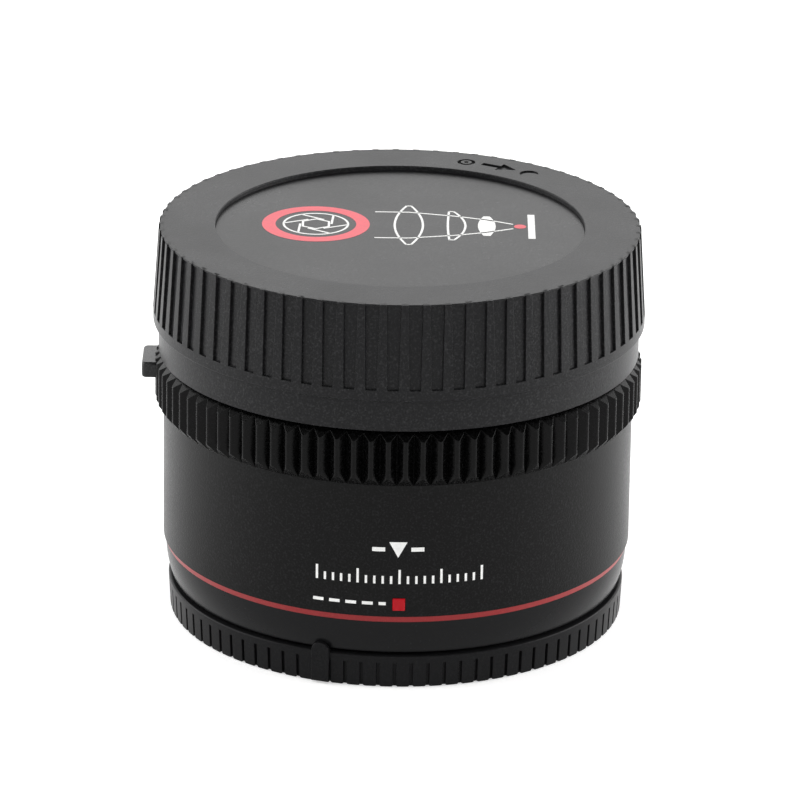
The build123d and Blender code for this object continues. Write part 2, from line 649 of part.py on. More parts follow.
def rear_collar():
    """Collar that curves in from the red line to the mount; its wall hides the rear plate."""
    groove = REAR_PLATE_RADIUS + SEAL_WIDTH + 2 * SEAT_GAP
    bore = CHASSIS_REAR_RADIUS + SEAT_GAP
    bend = REAR_FACE + COLLAR_STRAIGHT
    rise = COLLAR_TOP - bend
    step = COLLAR_RADIUS - COLLAR_FOOT_RADIUS
    curve = (rise * rise + step * step) / (2 * step)
    half_turn = asin(rise / curve) / 2
    middle = (COLLAR_RADIUS - curve + curve * cos(half_turn), COLLAR_TOP - curve * sin(half_turn))
    foot = (COLLAR_FOOT_RADIUS, bend)
    outline = ThreePointArc((COLLAR_RADIUS, COLLAR_TOP), middle, foot) \
        + FilletPolyline(foot, (COLLAR_FOOT_RADIUS, REAR_FACE), (groove, REAR_FACE),
                         radius=COLLAR_EDGE) \
        + Polyline((groove, REAR_FACE), (groove, REAR_PLATE_TOP), (bore, REAR_PLATE_TOP),
                   (bore, COLLAR_TOP), (COLLAR_RADIUS, COLLAR_TOP))
    return revolve(Plane.XZ * make_face(outline), Axis.Z)


def accent_ring():
    """Red ring, bevelled in from the barrel to the collar."""
    inner = BARREL_RADIUS - ACCENT_WALL
    return turned([(inner, COLLAR_TOP), (COLLAR_RADIUS, COLLAR_TOP), (BARREL_RADIUS, BARREL_FOOT),
                   (inner, BARREL_FOOT)])


def main_barrel():
    """Barrel with a floor ring that takes the chassis screws and a thin neck in the grip ring."""
    neck = BARREL_INNER + NECK_WALL
    bore = BARREL_INNER - BARREL_FLOOR_WIDTH
    floor = CHASSIS_REAR_TOP + SEAT_GAP
    lip = BARREL_INNER - SEAT_GAP
    points = [(BARREL_RADIUS, BARREL_FOOT), (BARREL_RADIUS, BARREL_TOP), (neck, BARREL_TOP),
              (neck, NECK_TOP), (BARREL_INNER, NECK_TOP), (BARREL_INNER, floor + BARREL_FLOOR),
              (bore, floor + BARREL_FLOOR), (bore, floor), (lip, floor), (lip, BARREL_FOOT)]
    body = turned(points, [((BARREL_RADIUS, BARREL_TOP), BARREL_EDGE)])
    return body - [where * screw_hole(CHASSIS_SCREW) for where in chassis_screw_places()] \
        - [index_block(SEAT_GAP)]


def index_block(gap=0):
    """Raised square mark on the barrel, sunk into it by half the barrel's wall."""
    depth = BARREL_WALL / 2 + INDEX_RISE
    block = Box(depth + gap, INDEX_WIDTH + 2 * gap, INDEX_HEIGHT + 2 * gap,
                align=(Align.MAX, Align.CENTER, Align.MIN))
    up = BARREL_FOOT + INDEX_UP - gap
    return place(INDEX_AZIMUTH, BARREL_RADIUS + INDEX_RISE, up) * block


def index_mark():
    """Square mark whose outer face follows the barrel."""
    return index_block() & ring(BARREL_RADIUS + INDEX_RISE, BARREL_INNER, BARREL_FOOT, BARREL_TOP)


# Grip ring

def grip_ring():
    """Fluted ring: its teeth end in bevels, and a slot lets the release tab through."""
    low = BARREL_TOP + GRIP_BASE
    shell = turned([
        (GRIP_ROOT_RADIUS - GRIP_CHAMFER, BARREL_TOP), (GRIP_ROOT_RADIUS, BARREL_TOP),
        (GRIP_ROOT_RADIUS, low), (GRIP_RADIUS, low + GRIP_CHAMFER),
        (GRIP_RADIUS, FRONT_FACE - GRIP_CHAMFER), (GRIP_ROOT_RADIUS, FRONT_FACE),
        (GRIP_ROOT_RADIUS - GRIP_CHAMFER, FRONT_FACE)])
    teeth = toothed(GRIP_COUNT, GRIP_RADIUS + SEAT_GAP, GRIP_ROOT_RADIUS, GRIP_CREST_SHARE,
                    BARREL_TOP, FRONT_FACE)
    body = shell & teeth
    neck = BARREL_INNER + NECK_WALL + SEAT_GAP
    upper = CHASSIS_FRONT_RADIUS + SEAT_GAP
    lip = FRONT_PLATE_RADIUS + SEAT_GAP
    core = GRIP_ROOT_RADIUS - GRIP_CHAMFER
    body += turned([
        (neck, BARREL_TOP), (core, BARREL_TOP), (core, FRONT_FACE), (lip, FRONT_FACE),
        (lip, FRONT_FACE - GRIP_LIP), (upper, FRONT_FACE - GRIP_LIP),
        (upper, CHASSIS_FRONT_FOOT), (neck, CHASSIS_FRONT_FOOT)])
    reach = angle_at(TAB_WIDTH / 2 + SLOT_GAP, CHASSIS_FRONT_RADIUS)
    slot = sector(GRIP_RADIUS + OVERRUN, CHASSIS_FRONT_RADIUS - OVERRUN, TAB_FOOT - SLOT_GAP,
                  TAB_TOP + SLOT_GAP, TAB_SIDE - TAB_TRAVEL / 2, 2 * reach + TAB_TRAVEL)
    return body - slot


# Front mount

def front_bayonet():
    """Female mount: flange plate, four claws, and the hole that the lock pin comes through."""
    body = ring(FRONT_PLATE_RADIUS, POCKET_RADIUS, FRONT_PLATE_FOOT, FRONT_FACE)
    claw_top = FRONT_FACE - SEAT_GAP
    for i in range(BAYONET_COUNT):
        body += sector(POCKET_RADIUS + CLAW_THICKNESS / 2, CLAW_INNER, claw_top - CLAW_THICKNESS,
                       claw_top, claw_azimuth(i), CLAW_SPREAD)
    body -= [where * screw_hole(MOUNT_SCREW) for where in front_screw_places()]
    hole = rod(LOCK_RADIUS + RUNNING_GAP, FRONT_PLATE_FOOT - OVERRUN, FRONT_FACE + OVERRUN)
    return body - place(LOCK_AZIMUTH, LOCK_CIRCLE) * hole


def claw_azimuth(number):
    """Claws sit at the diagonals; the gaps between them face the sides."""
    return FULL_TURN / BAYONET_COUNT * (number + 1 / 2)


def front_screw_places():
    """Four places on the front plate, heads flush."""
    return around(BAYONET_COUNT, MOUNT_SCREW_CIRCLE, MOUNT_SCREW_FIRST, FRONT_FACE - SEAT_GAP)


def front_shim():
    """Thin shim between the front plate and the chassis, open where the lever moves."""
    body = ring(FRONT_PLATE_RADIUS, POCKET_RADIUS, CHASSIS_TOP, FRONT_PLATE_FOOT)
    body -= [where * screw_hole(MOUNT_SCREW) for where in front_screw_places()]
    return body - lever_pocket(CHASSIS_TOP)


def claw_springs():
    """Four bent leaves on a thin frame that push a mounted lens up against the claws."""
    frame_outer = POCKET_RADIUS - SEAT_GAP
    frame_top = POCKET_FLOOR + LEAF_THICKNESS
    body = ring(frame_outer, CLAW_INNER, POCKET_FLOOR, frame_top)
    for i in range(BAYONET_COUNT):
        body += leaf(claw_azimuth(i), CLAW_INNER, frame_outer)
    return body


def leaf(middle, inner, outer):
    """One bent leaf: it rises from the frame to a flat crest and comes down again."""
    half = pi * outer * LEAF_SPREAD / FULL_TURN
    crest = half / 3
    thick = LEAF_THICKNESS
    outline = Polyline((-half, 0), (-crest, LEAF_RISE), (crest, LEAF_RISE), (half, 0),
                       (half, thick), (crest, LEAF_RISE + thick), (-crest, LEAF_RISE + thick),
                       (-half, thick), close=True)
    strip = extrude(make_face(outline), outer + OVERRUN)
    strip = place(middle, 0, POCKET_FLOOR) * Plane.YZ.location * strip
    return strip & ring(outer, inner, POCKET_FLOOR, FRONT_FACE)


# Chassis

def chassis():
    """Frame: rear flange and web, sleeve, inner ledge for the lens tube, front flange."""
    points = [
        (CHASSIS_REAR_BORE, CHASSIS_FOOT), (CHASSIS_REAR_RADIUS, CHASSIS_FOOT),
        (CHASSIS_REAR_RADIUS, CHASSIS_REAR_TOP), (SLEEVE_RADIUS, CHASSIS_REAR_TOP),
        (SLEEVE_RADIUS, CHASSIS_FRONT_FOOT), (CHASSIS_FRONT_RADIUS, CHASSIS_FRONT_FOOT),
        (CHASSIS_FRONT_RADIUS, CHASSIS_TOP), (POCKET_RADIUS, CHASSIS_TOP),
        (POCKET_RADIUS, POCKET_FLOOR), (SLEEVE_INNER, POCKET_FLOOR),
        (SLEEVE_INNER, TUBE_FLANGE_FOOT), (REAR_TUBE_RADIUS + ASSEMBLY_GAP, TUBE_FLANGE_FOOT),
        (REAR_TUBE_RADIUS + ASSEMBLY_GAP, LEDGE_FOOT), (SLEEVE_INNER, LEDGE_FOOT),
        (SLEEVE_INNER, WEB_TOP), (CHASSIS_REAR_BORE, WEB_TOP)]
    body = turned(points)
    for azimuth in board_screw_azimuths():
        body += place(azimuth, BOARD_SCREW_CIRCLE) * rod(
            BOARD_BOSS_RADIUS, BOARD_TOP, LEDGE_FOOT + CHASSIS_LEDGE / 2)
    body -= [where * screw_hole(MOUNT_SCREW) for where in front_screw_places()]
    body -= [where * screw_hole(MOUNT_SCREW) for where in rear_screw_places()]
    body -= [where * screw_hole(CHASSIS_SCREW) for where in chassis_screw_places()]
    body -= [where * screw_hole(TUBE_SCREW) for where in tube_screw_places()]
    body -= [where * screw_hole(SMALL_SCREW) for where in board_screw_places()]
    body -= [where * screw_hole(TINY_SCREW) for where in baffle_screw_places()]
    body -= [where * screw_hole(TINY_SCREW) for where in bracket_screw_places()]
    body -= [where * screw_hole(GUIDE_SCREW) for where in guide_screw_places()]
    body -= flex_slot(FRONT_FLEX_RADIUS, LEDGE_FOOT, TUBE_FLANGE_FOOT)
    body -= flex_slot(REAR_FLEX_RADIUS, CHASSIS_FOOT, WEB_TOP)
    body -= lever_pocket(LEVER_FLOOR)
    return body - wedge_pocket()


def lever_pocket(foot):
    """Space for the lever's arm, open to the outside."""
    first = -ARM_TAIL - TAB_TRAVEL - LEVER_POCKET_MARGIN
    last = ARM_HEAD + LEVER_POCKET_MARGIN
    return sector(CHASSIS_FRONT_RADIUS + OVERRUN, SLEEVE_RADIUS + SEAT_GAP, foot,
                  FRONT_FACE + OVERRUN, TAB_SIDE + (first + last) / 2, last - first)


def wedge_pocket():
    """Deeper space under the lever's head, in which wedge and cross pin work."""
    first = LOCK_TURN - TAB_TRAVEL - WEDGE_POCKET_MARGIN
    last = ARM_HEAD + WEDGE_POCKET_MARGIN
    return sector(CHASSIS_FRONT_RADIUS + OVERRUN, SLEEVE_RADIUS, CHASSIS_FRONT_FOOT - OVERRUN,
                  LEVER_FLOOR + OVERRUN, TAB_SIDE + (first + last) / 2, last - first)


def chassis_screw_places():
    """Three places on the chassis's rear flange, heads down."""
    height = CHASSIS_FOOT + SEAT_GAP
    return [where * Rot(180, 0, 0) for where in
            around(CHASSIS_SCREW_COUNT, MOUNT_SCREW_CIRCLE, CHASSIS_SCREW_FIRST, height)]


# Contacts

def contact_azimuths():
    """Azimuths of the contacts, evenly spaced about the contact side."""
    first = CONTACT_SIDE - CONTACT_SPREAD / 2
    return [first + CONTACT_PITCH * i for i in range(CONTACT_COUNT)]


def front_contact_block():
    """Curved block on the tube's flange, bored for the sprung pins, with a screw ear each end."""
    foot = TUBE_FLANGE_TOP + SEAT_GAP
    outer = PIN_CIRCLE + FRONT_BLOCK_WIDTH / 2
    inner = PIN_CIRCLE - FRONT_BLOCK_WIDTH / 2
    body = sector(outer, inner, foot, foot + FRONT_BLOCK_HEIGHT, CONTACT_SIDE,
                  CONTACT_SPREAD + CONTACT_MARGIN)
    ears = CONTACT_SPREAD + CONTACT_MARGIN + 2 * BLOCK_EAR_SPREAD
    body += sector(outer, inner, foot, foot + BLOCK_EAR_HEIGHT, CONTACT_SIDE, ears)
    top = foot + FRONT_BLOCK_HEIGHT
    foot_of_bore = contact_pin_top() - CONTACT_PIN_LENGTH - CONTACT_PIN_TRAVEL - SEAT_GAP
    bore = rod(CONTACT_PIN_RADIUS + RUNNING_GAP, foot_of_bore, top + OVERRUN)
    body -= [place(azimuth, PIN_CIRCLE) * bore for azimuth in contact_azimuths()]
    return body - [where * screw_hole(SMALL_SCREW) for where in front_block_screw_places()]


def contact_pin_top():
    """Height of the sprung pins' tips at rest."""
    return TUBE_FLANGE_TOP + SEAT_GAP + FRONT_BLOCK_HEIGHT + CONTACT_PIN_RISE


def front_contact_pins():
    """Eleven pins with round tips."""
    tip = contact_pin_top()
    soft = CONTACT_PIN_RADIUS * 2 / 3
    half = [(0, tip - CONTACT_PIN_LENGTH), (CONTACT_PIN_RADIUS, tip - CONTACT_PIN_LENGTH),
            (CONTACT_PIN_RADIUS, tip), (0, tip)]
    pin = turned(half, [((CONTACT_PIN_RADIUS, tip), soft)])
    return group([place(azimuth, PIN_CIRCLE) * pin for azimuth in contact_azimuths()])


def front_block_screw_places():
    """One place in each ear of the front contact block."""
    height = TUBE_FLANGE_TOP + SEAT_GAP + BLOCK_EAR_HEIGHT
    reach = (CONTACT_SPREAD + CONTACT_MARGIN + BLOCK_EAR_SPREAD) / 2
    return [place(CONTACT_SIDE + side * reach, PIN_CIRCLE, height) for side in (-1, 1)]


def rear_contact_block():
    """Curved block under the baffle with a seat for each pad."""
    top = REAR_FACE - BAFFLE_RISE - SEAT_GAP
    inner = REAR_BLOCK_RADIUS - REAR_BLOCK_WIDTH
    body = sector(REAR_BLOCK_RADIUS, inner, top - REAR_BLOCK_HEIGHT, top, CONTACT_SIDE,
                  CONTACT_SPREAD + CONTACT_MARGIN + 2 * BLOCK_EAR_SPREAD)
    pad = Box(PAD_LENGTH, PAD_WIDTH, PAD_THICKNESS, align=LOW)
    height = top - REAR_BLOCK_HEIGHT
    circle = REAR_BLOCK_RADIUS - REAR_BLOCK_WIDTH / 2
    body -= [place(azimuth, circle, height) * pad for azimuth in contact_azimuths()]
    return body - [where * screw_hole(TINY_SCREW) for where in rear_block_screw_places()]


def rear_contact_pads():
    """Eleven flat pads that stand a little proud of the block."""
    height = REAR_FACE - BAFFLE_RISE - SEAT_GAP - REAR_BLOCK_HEIGHT - PAD_PROUD
    pad = Box(PAD_LENGTH, PAD_WIDTH, PAD_THICKNESS + PAD_PROUD, align=LOW)
    circle = REAR_BLOCK_RADIUS - REAR_BLOCK_WIDTH / 2
    return group([place(azimuth, circle, height) * pad for azimuth in contact_azimuths()])


def rear_block_screw_places():
    """One place at each end of the rear contact block, heads down."""
    height = REAR_FACE - BAFFLE_RISE - SEAT_GAP - REAR_BLOCK_HEIGHT
    reach = (CONTACT_SPREAD + CONTACT_MARGIN + BLOCK_EAR_SPREAD) / 2
    circle = REAR_BLOCK_RADIUS - REAR_BLOCK_WIDTH / 2
    return [place(CONTACT_SIDE + side * reach, circle, height) * Rot(180, 0, 0)
            for side in (-1, 1)]


# Rear baffle

def rear_baffle():
    """Cup with a rectangular window, three screw bosses and room for the flat cable."""
    foot = REAR_FACE - BAFFLE_RISE
    top = foot + BAFFLE_THICKNESS
    rim = CHASSIS_FOOT - SEAT_GAP
    wall = BAFFLE_RADIUS - BAFFLE_WALL
    body = turned([(0, foot), (BAFFLE_RADIUS, foot), (BAFFLE_RADIUS, rim), (wall, rim),
                   (wall, top), (0, top)])
    width = 2 * (wall - WINDOW_MARGIN) / sqrt(1 + WINDOW_SHAPE_SHARE * WINDOW_SHAPE_SHARE)
    window = RectangleRounded(width, width * WINDOW_SHAPE_SHARE, WINDOW_CORNER)
    body -= Pos(0, 0, foot - OVERRUN / 2) * extrude(window, OVERRUN * 2)
    boss = rod(BAFFLE_BOSS_RADIUS, foot + BAFFLE_THICKNESS / 2, rim)
    for where in around(CHASSIS_SCREW_COUNT, BAFFLE_BOSS_CIRCLE, TUBE_SCREW_FIRST):
        body += where * boss
    body -= [where * screw_hole(TINY_SCREW) for where in rear_block_screw_places()]
    body -= [where * screw_hole(TINY_SCREW) for where in baffle_screw_places()]
    return body - flex_slot(REAR_FLEX_RADIUS, foot, top)


def baffle_screw_places():
    """Three places in the baffle's bosses, heads down."""
    height = REAR_FACE - BAFFLE_RISE + BAFFLE_THICKNESS
    return [where * Rot(180, 0, 0) for where in
            around(CHASSIS_SCREW_COUNT, BAFFLE_BOSS_CIRCLE, TUBE_SCREW_FIRST, height)]


# Board and flat cables

def board_screw_azimuths():
    """Three screws, clear of the gap in the board and of the flat cables."""
    return [CONTACT_SIDE + turn for turn in (-BOARD_SPREAD / 3, BOARD_SPREAD / 10,
                                             BOARD_SPREAD / 3)]


def board_screw_places():
    """Board screws go up into the bosses under the ledge."""
    return [place(azimuth, BOARD_SCREW_CIRCLE, BOARD_FOOT) * Rot(180, 0, 0)
            * Pos(0, 0, SMALL_SCREW[1] + SEAT_GAP) for azimuth in board_screw_azimuths()]


def main_board():
    """Ring shaped board, open on the index side."""
    body = sector(BOARD_OUTER, BOARD_INNER, BOARD_FOOT, BOARD_TOP - SEAT_GAP, CONTACT_SIDE,
                  BOARD_SPREAD)
    return body - [where * screw_hole(SMALL_SCREW) for where in board_screw_places()]


def board_chips():
    """Chips under the board."""
    chips = []
    circle = (BOARD_OUTER + BOARD_INNER) / 2
    for azimuth, share in zip(CHIP_AZIMUTHS, CHIP_LENGTH_SHARES):
        chip = Box(CHIP_WIDTH, CHIP_HEIGHT * share, CHIP_HEIGHT, align=HIGH)
        chips.append(place(azimuth, circle, BOARD_FOOT) * chip)
    return group(chips)


def flex_slot(radius, foot, top):
    """Slot that a flat cable passes through."""
    return sector(radius + FLEX_SLOT_GAP, radius - FLEX_SLOT_GAP, foot - OVERRUN, top + OVERRUN,
                  CONTACT_SIDE, FLEX_SPREAD + CONTACT_PITCH / 2)


def front_flex():
    """Flat cable from the board up through the tube's flange to the front contact block."""
    outer = FRONT_FLEX_RADIUS + FLEX_THICKNESS / 2
    inner = FRONT_FLEX_RADIUS - FLEX_THICKNESS / 2
    block = PIN_CIRCLE + FRONT_BLOCK_WIDTH / 2
    top = TUBE_FLANGE_TOP + BLOCK_EAR_HEIGHT
    points = [(inner, BOARD_TOP), (outer, BOARD_TOP), (outer, top), (block, top),
              (block, top - FLEX_THICKNESS), (inner, top - FLEX_THICKNESS)]
    return turned(points, start=CONTACT_SIDE - FLEX_SPREAD / 2, spread=FLEX_SPREAD)


def rear_flex():
    """Flat cable from the board down through the web and the baffle to the rear block."""
    outer = REAR_FLEX_RADIUS + FLEX_THICKNESS / 2
    inner = REAR_FLEX_RADIUS - FLEX_THICKNESS / 2
    return sector(outer, inner, REAR_FACE - BAFFLE_RISE - SEAT_GAP, BOARD_FOOT, CONTACT_SIDE,
                  FLEX_SPREAD)


# Lens release

def release_lever():
    """Tab outside the grip ring, arm inside it, arc slots for guide and pin, wedge below."""
    arm = sector(ARM_OUTER, ARM_INNER, ARM_FOOT, ARM_TOP, TAB_SIDE + (ARM_HEAD - ARM_TAIL) / 2,
                 ARM_HEAD + ARM_TAIL)
    root = ARM_OUTER - ARM_THICKNESS
    tab = Box(TAB_RADIUS - root, TAB_WIDTH, TAB_THICKNESS,
              align=(Align.MIN, Align.CENTER, Align.MIN))
    outer_edges = tab.edges().filter_by(Axis.Z).group_by(Axis.X)[-1]
    tab = fillet(outer_edges, TAB_CORNER)
    tab = place(TAB_SIDE, root, TAB_FOOT) * tab
    tab -= ring(CHASSIS_FRONT_RADIUS + ASSEMBLY_GAP, 0, TAB_FOOT - OVERRUN, ARM_FOOT)
    tab -= ring(CHASSIS_FRONT_RADIUS + ASSEMBLY_GAP, 0, ARM_TOP, TAB_TOP + OVERRUN)
    body = arm + tab
    body -= arc_slot(GUIDE_CIRCLE, GUIDE_RADIUS, -GUIDE_TURN)
    body -= arc_slot(LOCK_CIRCLE, LOCK_RADIUS, LOCK_TURN)
    return body + wedge()


def arc_slot(circle, radius, turn):
    """Slot in the arm that leaves its pin free over the tab's travel; turn is where it stands."""
    half = radius + SLOT_GAP
    ends = angle_at(half, circle)
    return sector(circle + half, circle - half, ARM_FOOT - OVERRUN, ARM_TOP + OVERRUN,
                  TAB_SIDE + turn + TAB_TRAVEL / 2, TAB_TRAVEL + 2 * ends)


def wedge():
    """Ramp under the arm's outer edge that falls by the pin's travel over the tab's travel."""
    start = LOCK_TURN + angle_at(CROSS_RADIUS, LOCK_CIRCLE)
    finish = ARM_HEAD - angle_at(CROSS_RADIUS, LOCK_CIRCLE)
    top = ARM_FOOT + ARM_THICKNESS / 2
    faces = []
    for turn in (start, finish):
        drop = LOCK_TRAVEL * (turn - LOCK_TURN) / TAB_TRAVEL
        height = top - ARM_FOOT + drop
        section = Plane.XZ * (Pos(ARM_OUTER - WEDGE_WIDTH / 2, top - height / 2)
                              * Rectangle(WEDGE_WIDTH, height))
        faces.append(Rot(0, 0, TAB_SIDE + turn) * section)
    return loft(faces, ruled=True)


def guide_screw_places():
    """The shoulder screw stands at the tail end of its slot while the lever rests."""
    return [place(TAB_SIDE - GUIDE_TURN, GUIDE_CIRCLE, ARM_TOP + RUNNING_GAP + GUIDE_SCREW[1])]


def lever_guide_screw():
    """Shoulder screw: head over the arm, shoulder in its slot, thread in the chassis."""
    shoulder = Pos(0, 0, -GUIDE_SCREW[1]) * Cylinder(
        GUIDE_RADIUS, ARM_THICKNESS + RUNNING_GAP, align=HIGH)
    return guide_screw_places()[0] * (screw(GUIDE_SCREW) + shoulder)


def lock_pin():
    """Pin through the front plate, thin tail through its bracket, cross pin under the wedge."""
    half = [(0, LOCK_FOOT), (LOCK_TAIL_RADIUS, LOCK_FOOT), (LOCK_TAIL_RADIUS, LOCK_SHOULDER),
            (LOCK_RADIUS, LOCK_SHOULDER), (LOCK_RADIUS, LOCK_TOP), (0, LOCK_TOP)]
    pin = turned(half, [((LOCK_RADIUS, LOCK_TOP), LOCK_RADIUS / 2)])
    cross = Pos(0, 0, CROSS_HEIGHT) * Rot(0, 90, 0) * Cylinder(CROSS_RADIUS, CROSS_REACH,
                                                             align=LOW)
    return place(LOCK_AZIMUTH, LOCK_CIRCLE) * (pin + cross)


def lock_pin_spring():
    """Coil round the pin's tail between bracket and shoulder."""
    mean = LOCK_TAIL_RADIUS + SPRING_GAP + SPRING_WIRE / 2
    foot = BRACKET_TOP + SPRING_WIRE / 2 + SEAT_GAP
    rise = LOCK_SHOULDER - SEAT_GAP - SPRING_WIRE / 2 - foot
    path = Helix(rise / SPRING_TURNS, rise, mean)
    profile = Plane(origin=path @ 0, z_dir=path % 0) * Circle(SPRING_WIRE / 2)
    return place(LOCK_AZIMUTH, LOCK_CIRCLE, foot) * sweep(profile, path=path)


def lock_bracket():
    """Angle bracket on the sleeve: a shelf that guides the tail, and a back with two screws."""
    inner = SLEEVE_RADIUS + SEAT_GAP
    outer = BARREL_INNER - ASSEMBLY_GAP
    back = inner + BRACKET_BACK
    points = [(inner, BRACKET_FOOT - BRACKET_BACK_HEIGHT), (back, BRACKET_FOOT - BRACKET_BACK_HEIGHT),
              (back, BRACKET_FOOT), (outer, BRACKET_FOOT), (outer, BRACKET_TOP),
              (inner, BRACKET_TOP)]
    body = turned(points, start=LOCK_AZIMUTH - BRACKET_SPREAD / 2, spread=BRACKET_SPREAD)
    bore = rod(LOCK_TAIL_RADIUS + RUNNING_GAP, LOCK_FOOT - LOCK_TRAVEL, LOCK_SHOULDER)
    body -= place(LOCK_AZIMUTH, LOCK_CIRCLE) * bore
    return body - [where * screw_hole(TINY_SCREW) for where in bracket_screw_places()]


def bracket_screw_places():
    """Two radial screws in the bracket's back."""
    reach = SLEEVE_RADIUS + SEAT_GAP + BRACKET_BACK + TINY_SCREW[1]
    height = BRACKET_FOOT - BRACKET_BACK_HEIGHT / 2
    return [place(LOCK_AZIMUTH + side * BRACKET_SCREW_TURN, reach, height) * Rot(0, 90, 0)
            for side in (-1, 1)]


# Top cap

def front_cap():
    """Deep cap: ribbed wall, smooth band, plain skirt and a roof with a recess."""
    skirt_top = CAP_FOOT + CAP_SKIRT_HEIGHT
    band_foot = skirt_top + CAP_BEVEL_HEIGHT
    band_top = band_foot + CAP_BAND_HEIGHT
    wall = CAP_SKIRT_RADIUS - CAP_WALL
    points = [
        (CAP_SKIRT_RADIUS, CAP_FOOT), (CAP_SKIRT_RADIUS, skirt_top), (CAP_BAND_RADIUS, band_foot),
        (CAP_BAND_RADIUS, band_top), (CAP_TOP_RADIUS, CAP_TOP), (RECESS_RADIUS, CAP_TOP),
        (RECESS_RADIUS, INSERT_FOOT), (0, INSERT_FOOT), (0, CAP_CEILING), (wall, CAP_CEILING),
        (wall, CAP_FOOT)]
    body = turned(points, [
        ((CAP_TOP_RADIUS, CAP_TOP), CAP_EDGE), ((RECESS_RADIUS, CAP_TOP), RECESS_EDGE),
        ((CAP_SKIRT_RADIUS, CAP_FOOT), SOFT_EDGE)])
    body -= [Rot(0, 0, FULL_TURN * (i + 1 / 2) / RIB_COUNT + RIB_FIRST) * rib_gap(band_top)
             for i in range(RIB_COUNT)]
    return body - rim_marks()


def cap_tube():
    """Tube under the cap's roof, with the four lugs that hold the cap on."""
    body = ring(BAYONET_TUBE_RADIUS, CAP_TUBE_INNER, CAP_TUBE_FOOT, CAP_CEILING)
    for i in range(BAYONET_COUNT):
        body += sector(BAYONET_RADIUS, BAYONET_TUBE_RADIUS - CAP_TUBE_WALL / 2, CAP_TUBE_FOOT,
                       CAP_TUBE_FOOT + LUG_THICKNESS, FULL_TURN / BAYONET_COUNT * i, LUG_SPREAD)
    return body


def rib_gap(foot):
    """Space between two ribs: wide at the top, narrower at the foot, on a steep cone."""
    top = CAP_TOP + OVERRUN
    slope = (CAP_BAND_RADIUS - CAP_TOP_RADIUS) / (CAP_TOP - foot)
    top_radius = CAP_TOP_RADIUS - slope * OVERRUN
    faces = []
    for height, radius, rib in ((foot, CAP_BAND_RADIUS, RIB_WIDTH_FOOT),
                                (top, top_radius, RIB_WIDTH_TOP)):
        inner = radius - RIB_DEPTH
        outer = radius + OVERRUN
        half = [side * (2 * pi * edge / RIB_COUNT - rib) / 2
                for side, edge in ((-1, inner), (1, inner), (1, outer), (-1, outer))]
        outline = Polyline((inner, half[0]), (inner, half[1]), (outer, half[2]),
                           (outer, half[3]), close=True)
        faces.append(Pos(0, 0, height) * make_face(outline))
    return loft(faces, ruled=True)


def cap_insert():
    """Printed disc glued into the recess."""
    return ring(RECESS_RADIUS - SEAT_GAP, 0, INSERT_FOOT, INSERT_FOOT + INSERT_THICKNESS)


def rim_marks():
    """Sunk marks on the rim: a ring with a dot, an arrow that points on, and a crescent."""
    dot = Circle(MARK_RING_RADIUS) - Circle(MARK_RING_RADIUS - MARK_LINE) \
        + Circle(MARK_DOT_RADIUS)
    crescent = Circle(MARK_CRESCENT_RADIUS) \
        - Pos(-MARK_CRESCENT_SHIFT, -MARK_CRESCENT_SHIFT) * Circle(MARK_CRESCENT_RADIUS)
    tip = -MARK_ARROW_LENGTH / 2
    neck = tip + MARK_HEAD_LENGTH
    half = MARK_ARROW_WIDTH / 2
    barb = MARK_HEAD_WIDTH / 2
    arrow = make_face(Polyline((half, -tip), (half, neck), (barb, neck), (0, tip), (-barb, neck),
                               (-half, neck), (-half, -tip), close=True))
    marks = []
    for turn, sketch in ((MARK_RING_TURN, dot), (MARK_ARROW_TURN, arrow),
                         (MARK_CRESCENT_TURN, crescent)):
        cut = extrude(sketch, MARK_DEPTH + OVERRUN)
        marks.append(place(CONTACT_SIDE - turn, MARK_CIRCLE, CAP_TOP - MARK_DEPTH) * cut)
    return marks


def screws(sizes, places):
    """One screw at each place."""
    return group([where * screw(sizes) for where in places])


def all_nodes():
    """Every node of the part by name."""
    nodes = {
        "rear_cap": rear_cap(),
        "rear_bayonet": rear_bayonet(),
        "rear_mount_screws": screws(MOUNT_SCREW, rear_screw_places()),
        "rear_shim": rear_shim(),
        "mount_seal": mount_seal(),
        "rear_baffle": rear_baffle(),
        "baffle_screws": screws(TINY_SCREW, baffle_screw_places()),
        "rear_contact_block": rear_contact_block(),
        "rear_contact_pads": rear_contact_pads(),
        "rear_contact_screws": screws(TINY_SCREW, rear_block_screw_places()),
        "rear_collar": rear_collar(),
        "accent_ring": accent_ring(),
        "main_barrel": main_barrel(),
        "index_mark": index_mark(),
        "grip_ring": grip_ring(),
        "chassis": chassis(),
        "chassis_screws": screws(CHASSIS_SCREW, chassis_screw_places()),
        "lens_tube": lens_tube(),
        "lens_tube_screws": screws(TUBE_SCREW, tube_screw_places()),
        "front_retainer": front_retainer(),
        "front_spacer": front_spacer(),
        "rear_spacer": rear_spacer(),
        "rear_retainer": rear_retainer(),
        "main_board": main_board(),
        "board_chips": board_chips(),
        "board_screws": screws(SMALL_SCREW, board_screw_places()),
        "front_flex": front_flex(),
        "rear_flex": rear_flex(),
        "front_bayonet": front_bayonet(),
        "front_mount_screws": screws(MOUNT_SCREW, front_screw_places()),
        "front_shim": front_shim(),
        "claw_springs": claw_springs(),
        "front_contact_block": front_contact_block(),
        "front_contact_pins": front_contact_pins(),
        "front_contact_screws": screws(SMALL_SCREW, front_block_screw_places()),
        "release_lever": release_lever(),
        "lever_guide_screw": lever_guide_screw(),
        "lock_pin": lock_pin(),
        "lock_pin_spring": lock_pin_spring(),
        "lock_bracket": lock_bracket(),
        "lock_bracket_screws": screws(TINY_SCREW, bracket_screw_places()),
        "front_cap": front_cap(),
        "cap_tube": cap_tube(),
        "cap_insert": cap_insert(),
    }
    nodes.update(elements())
    return nodes


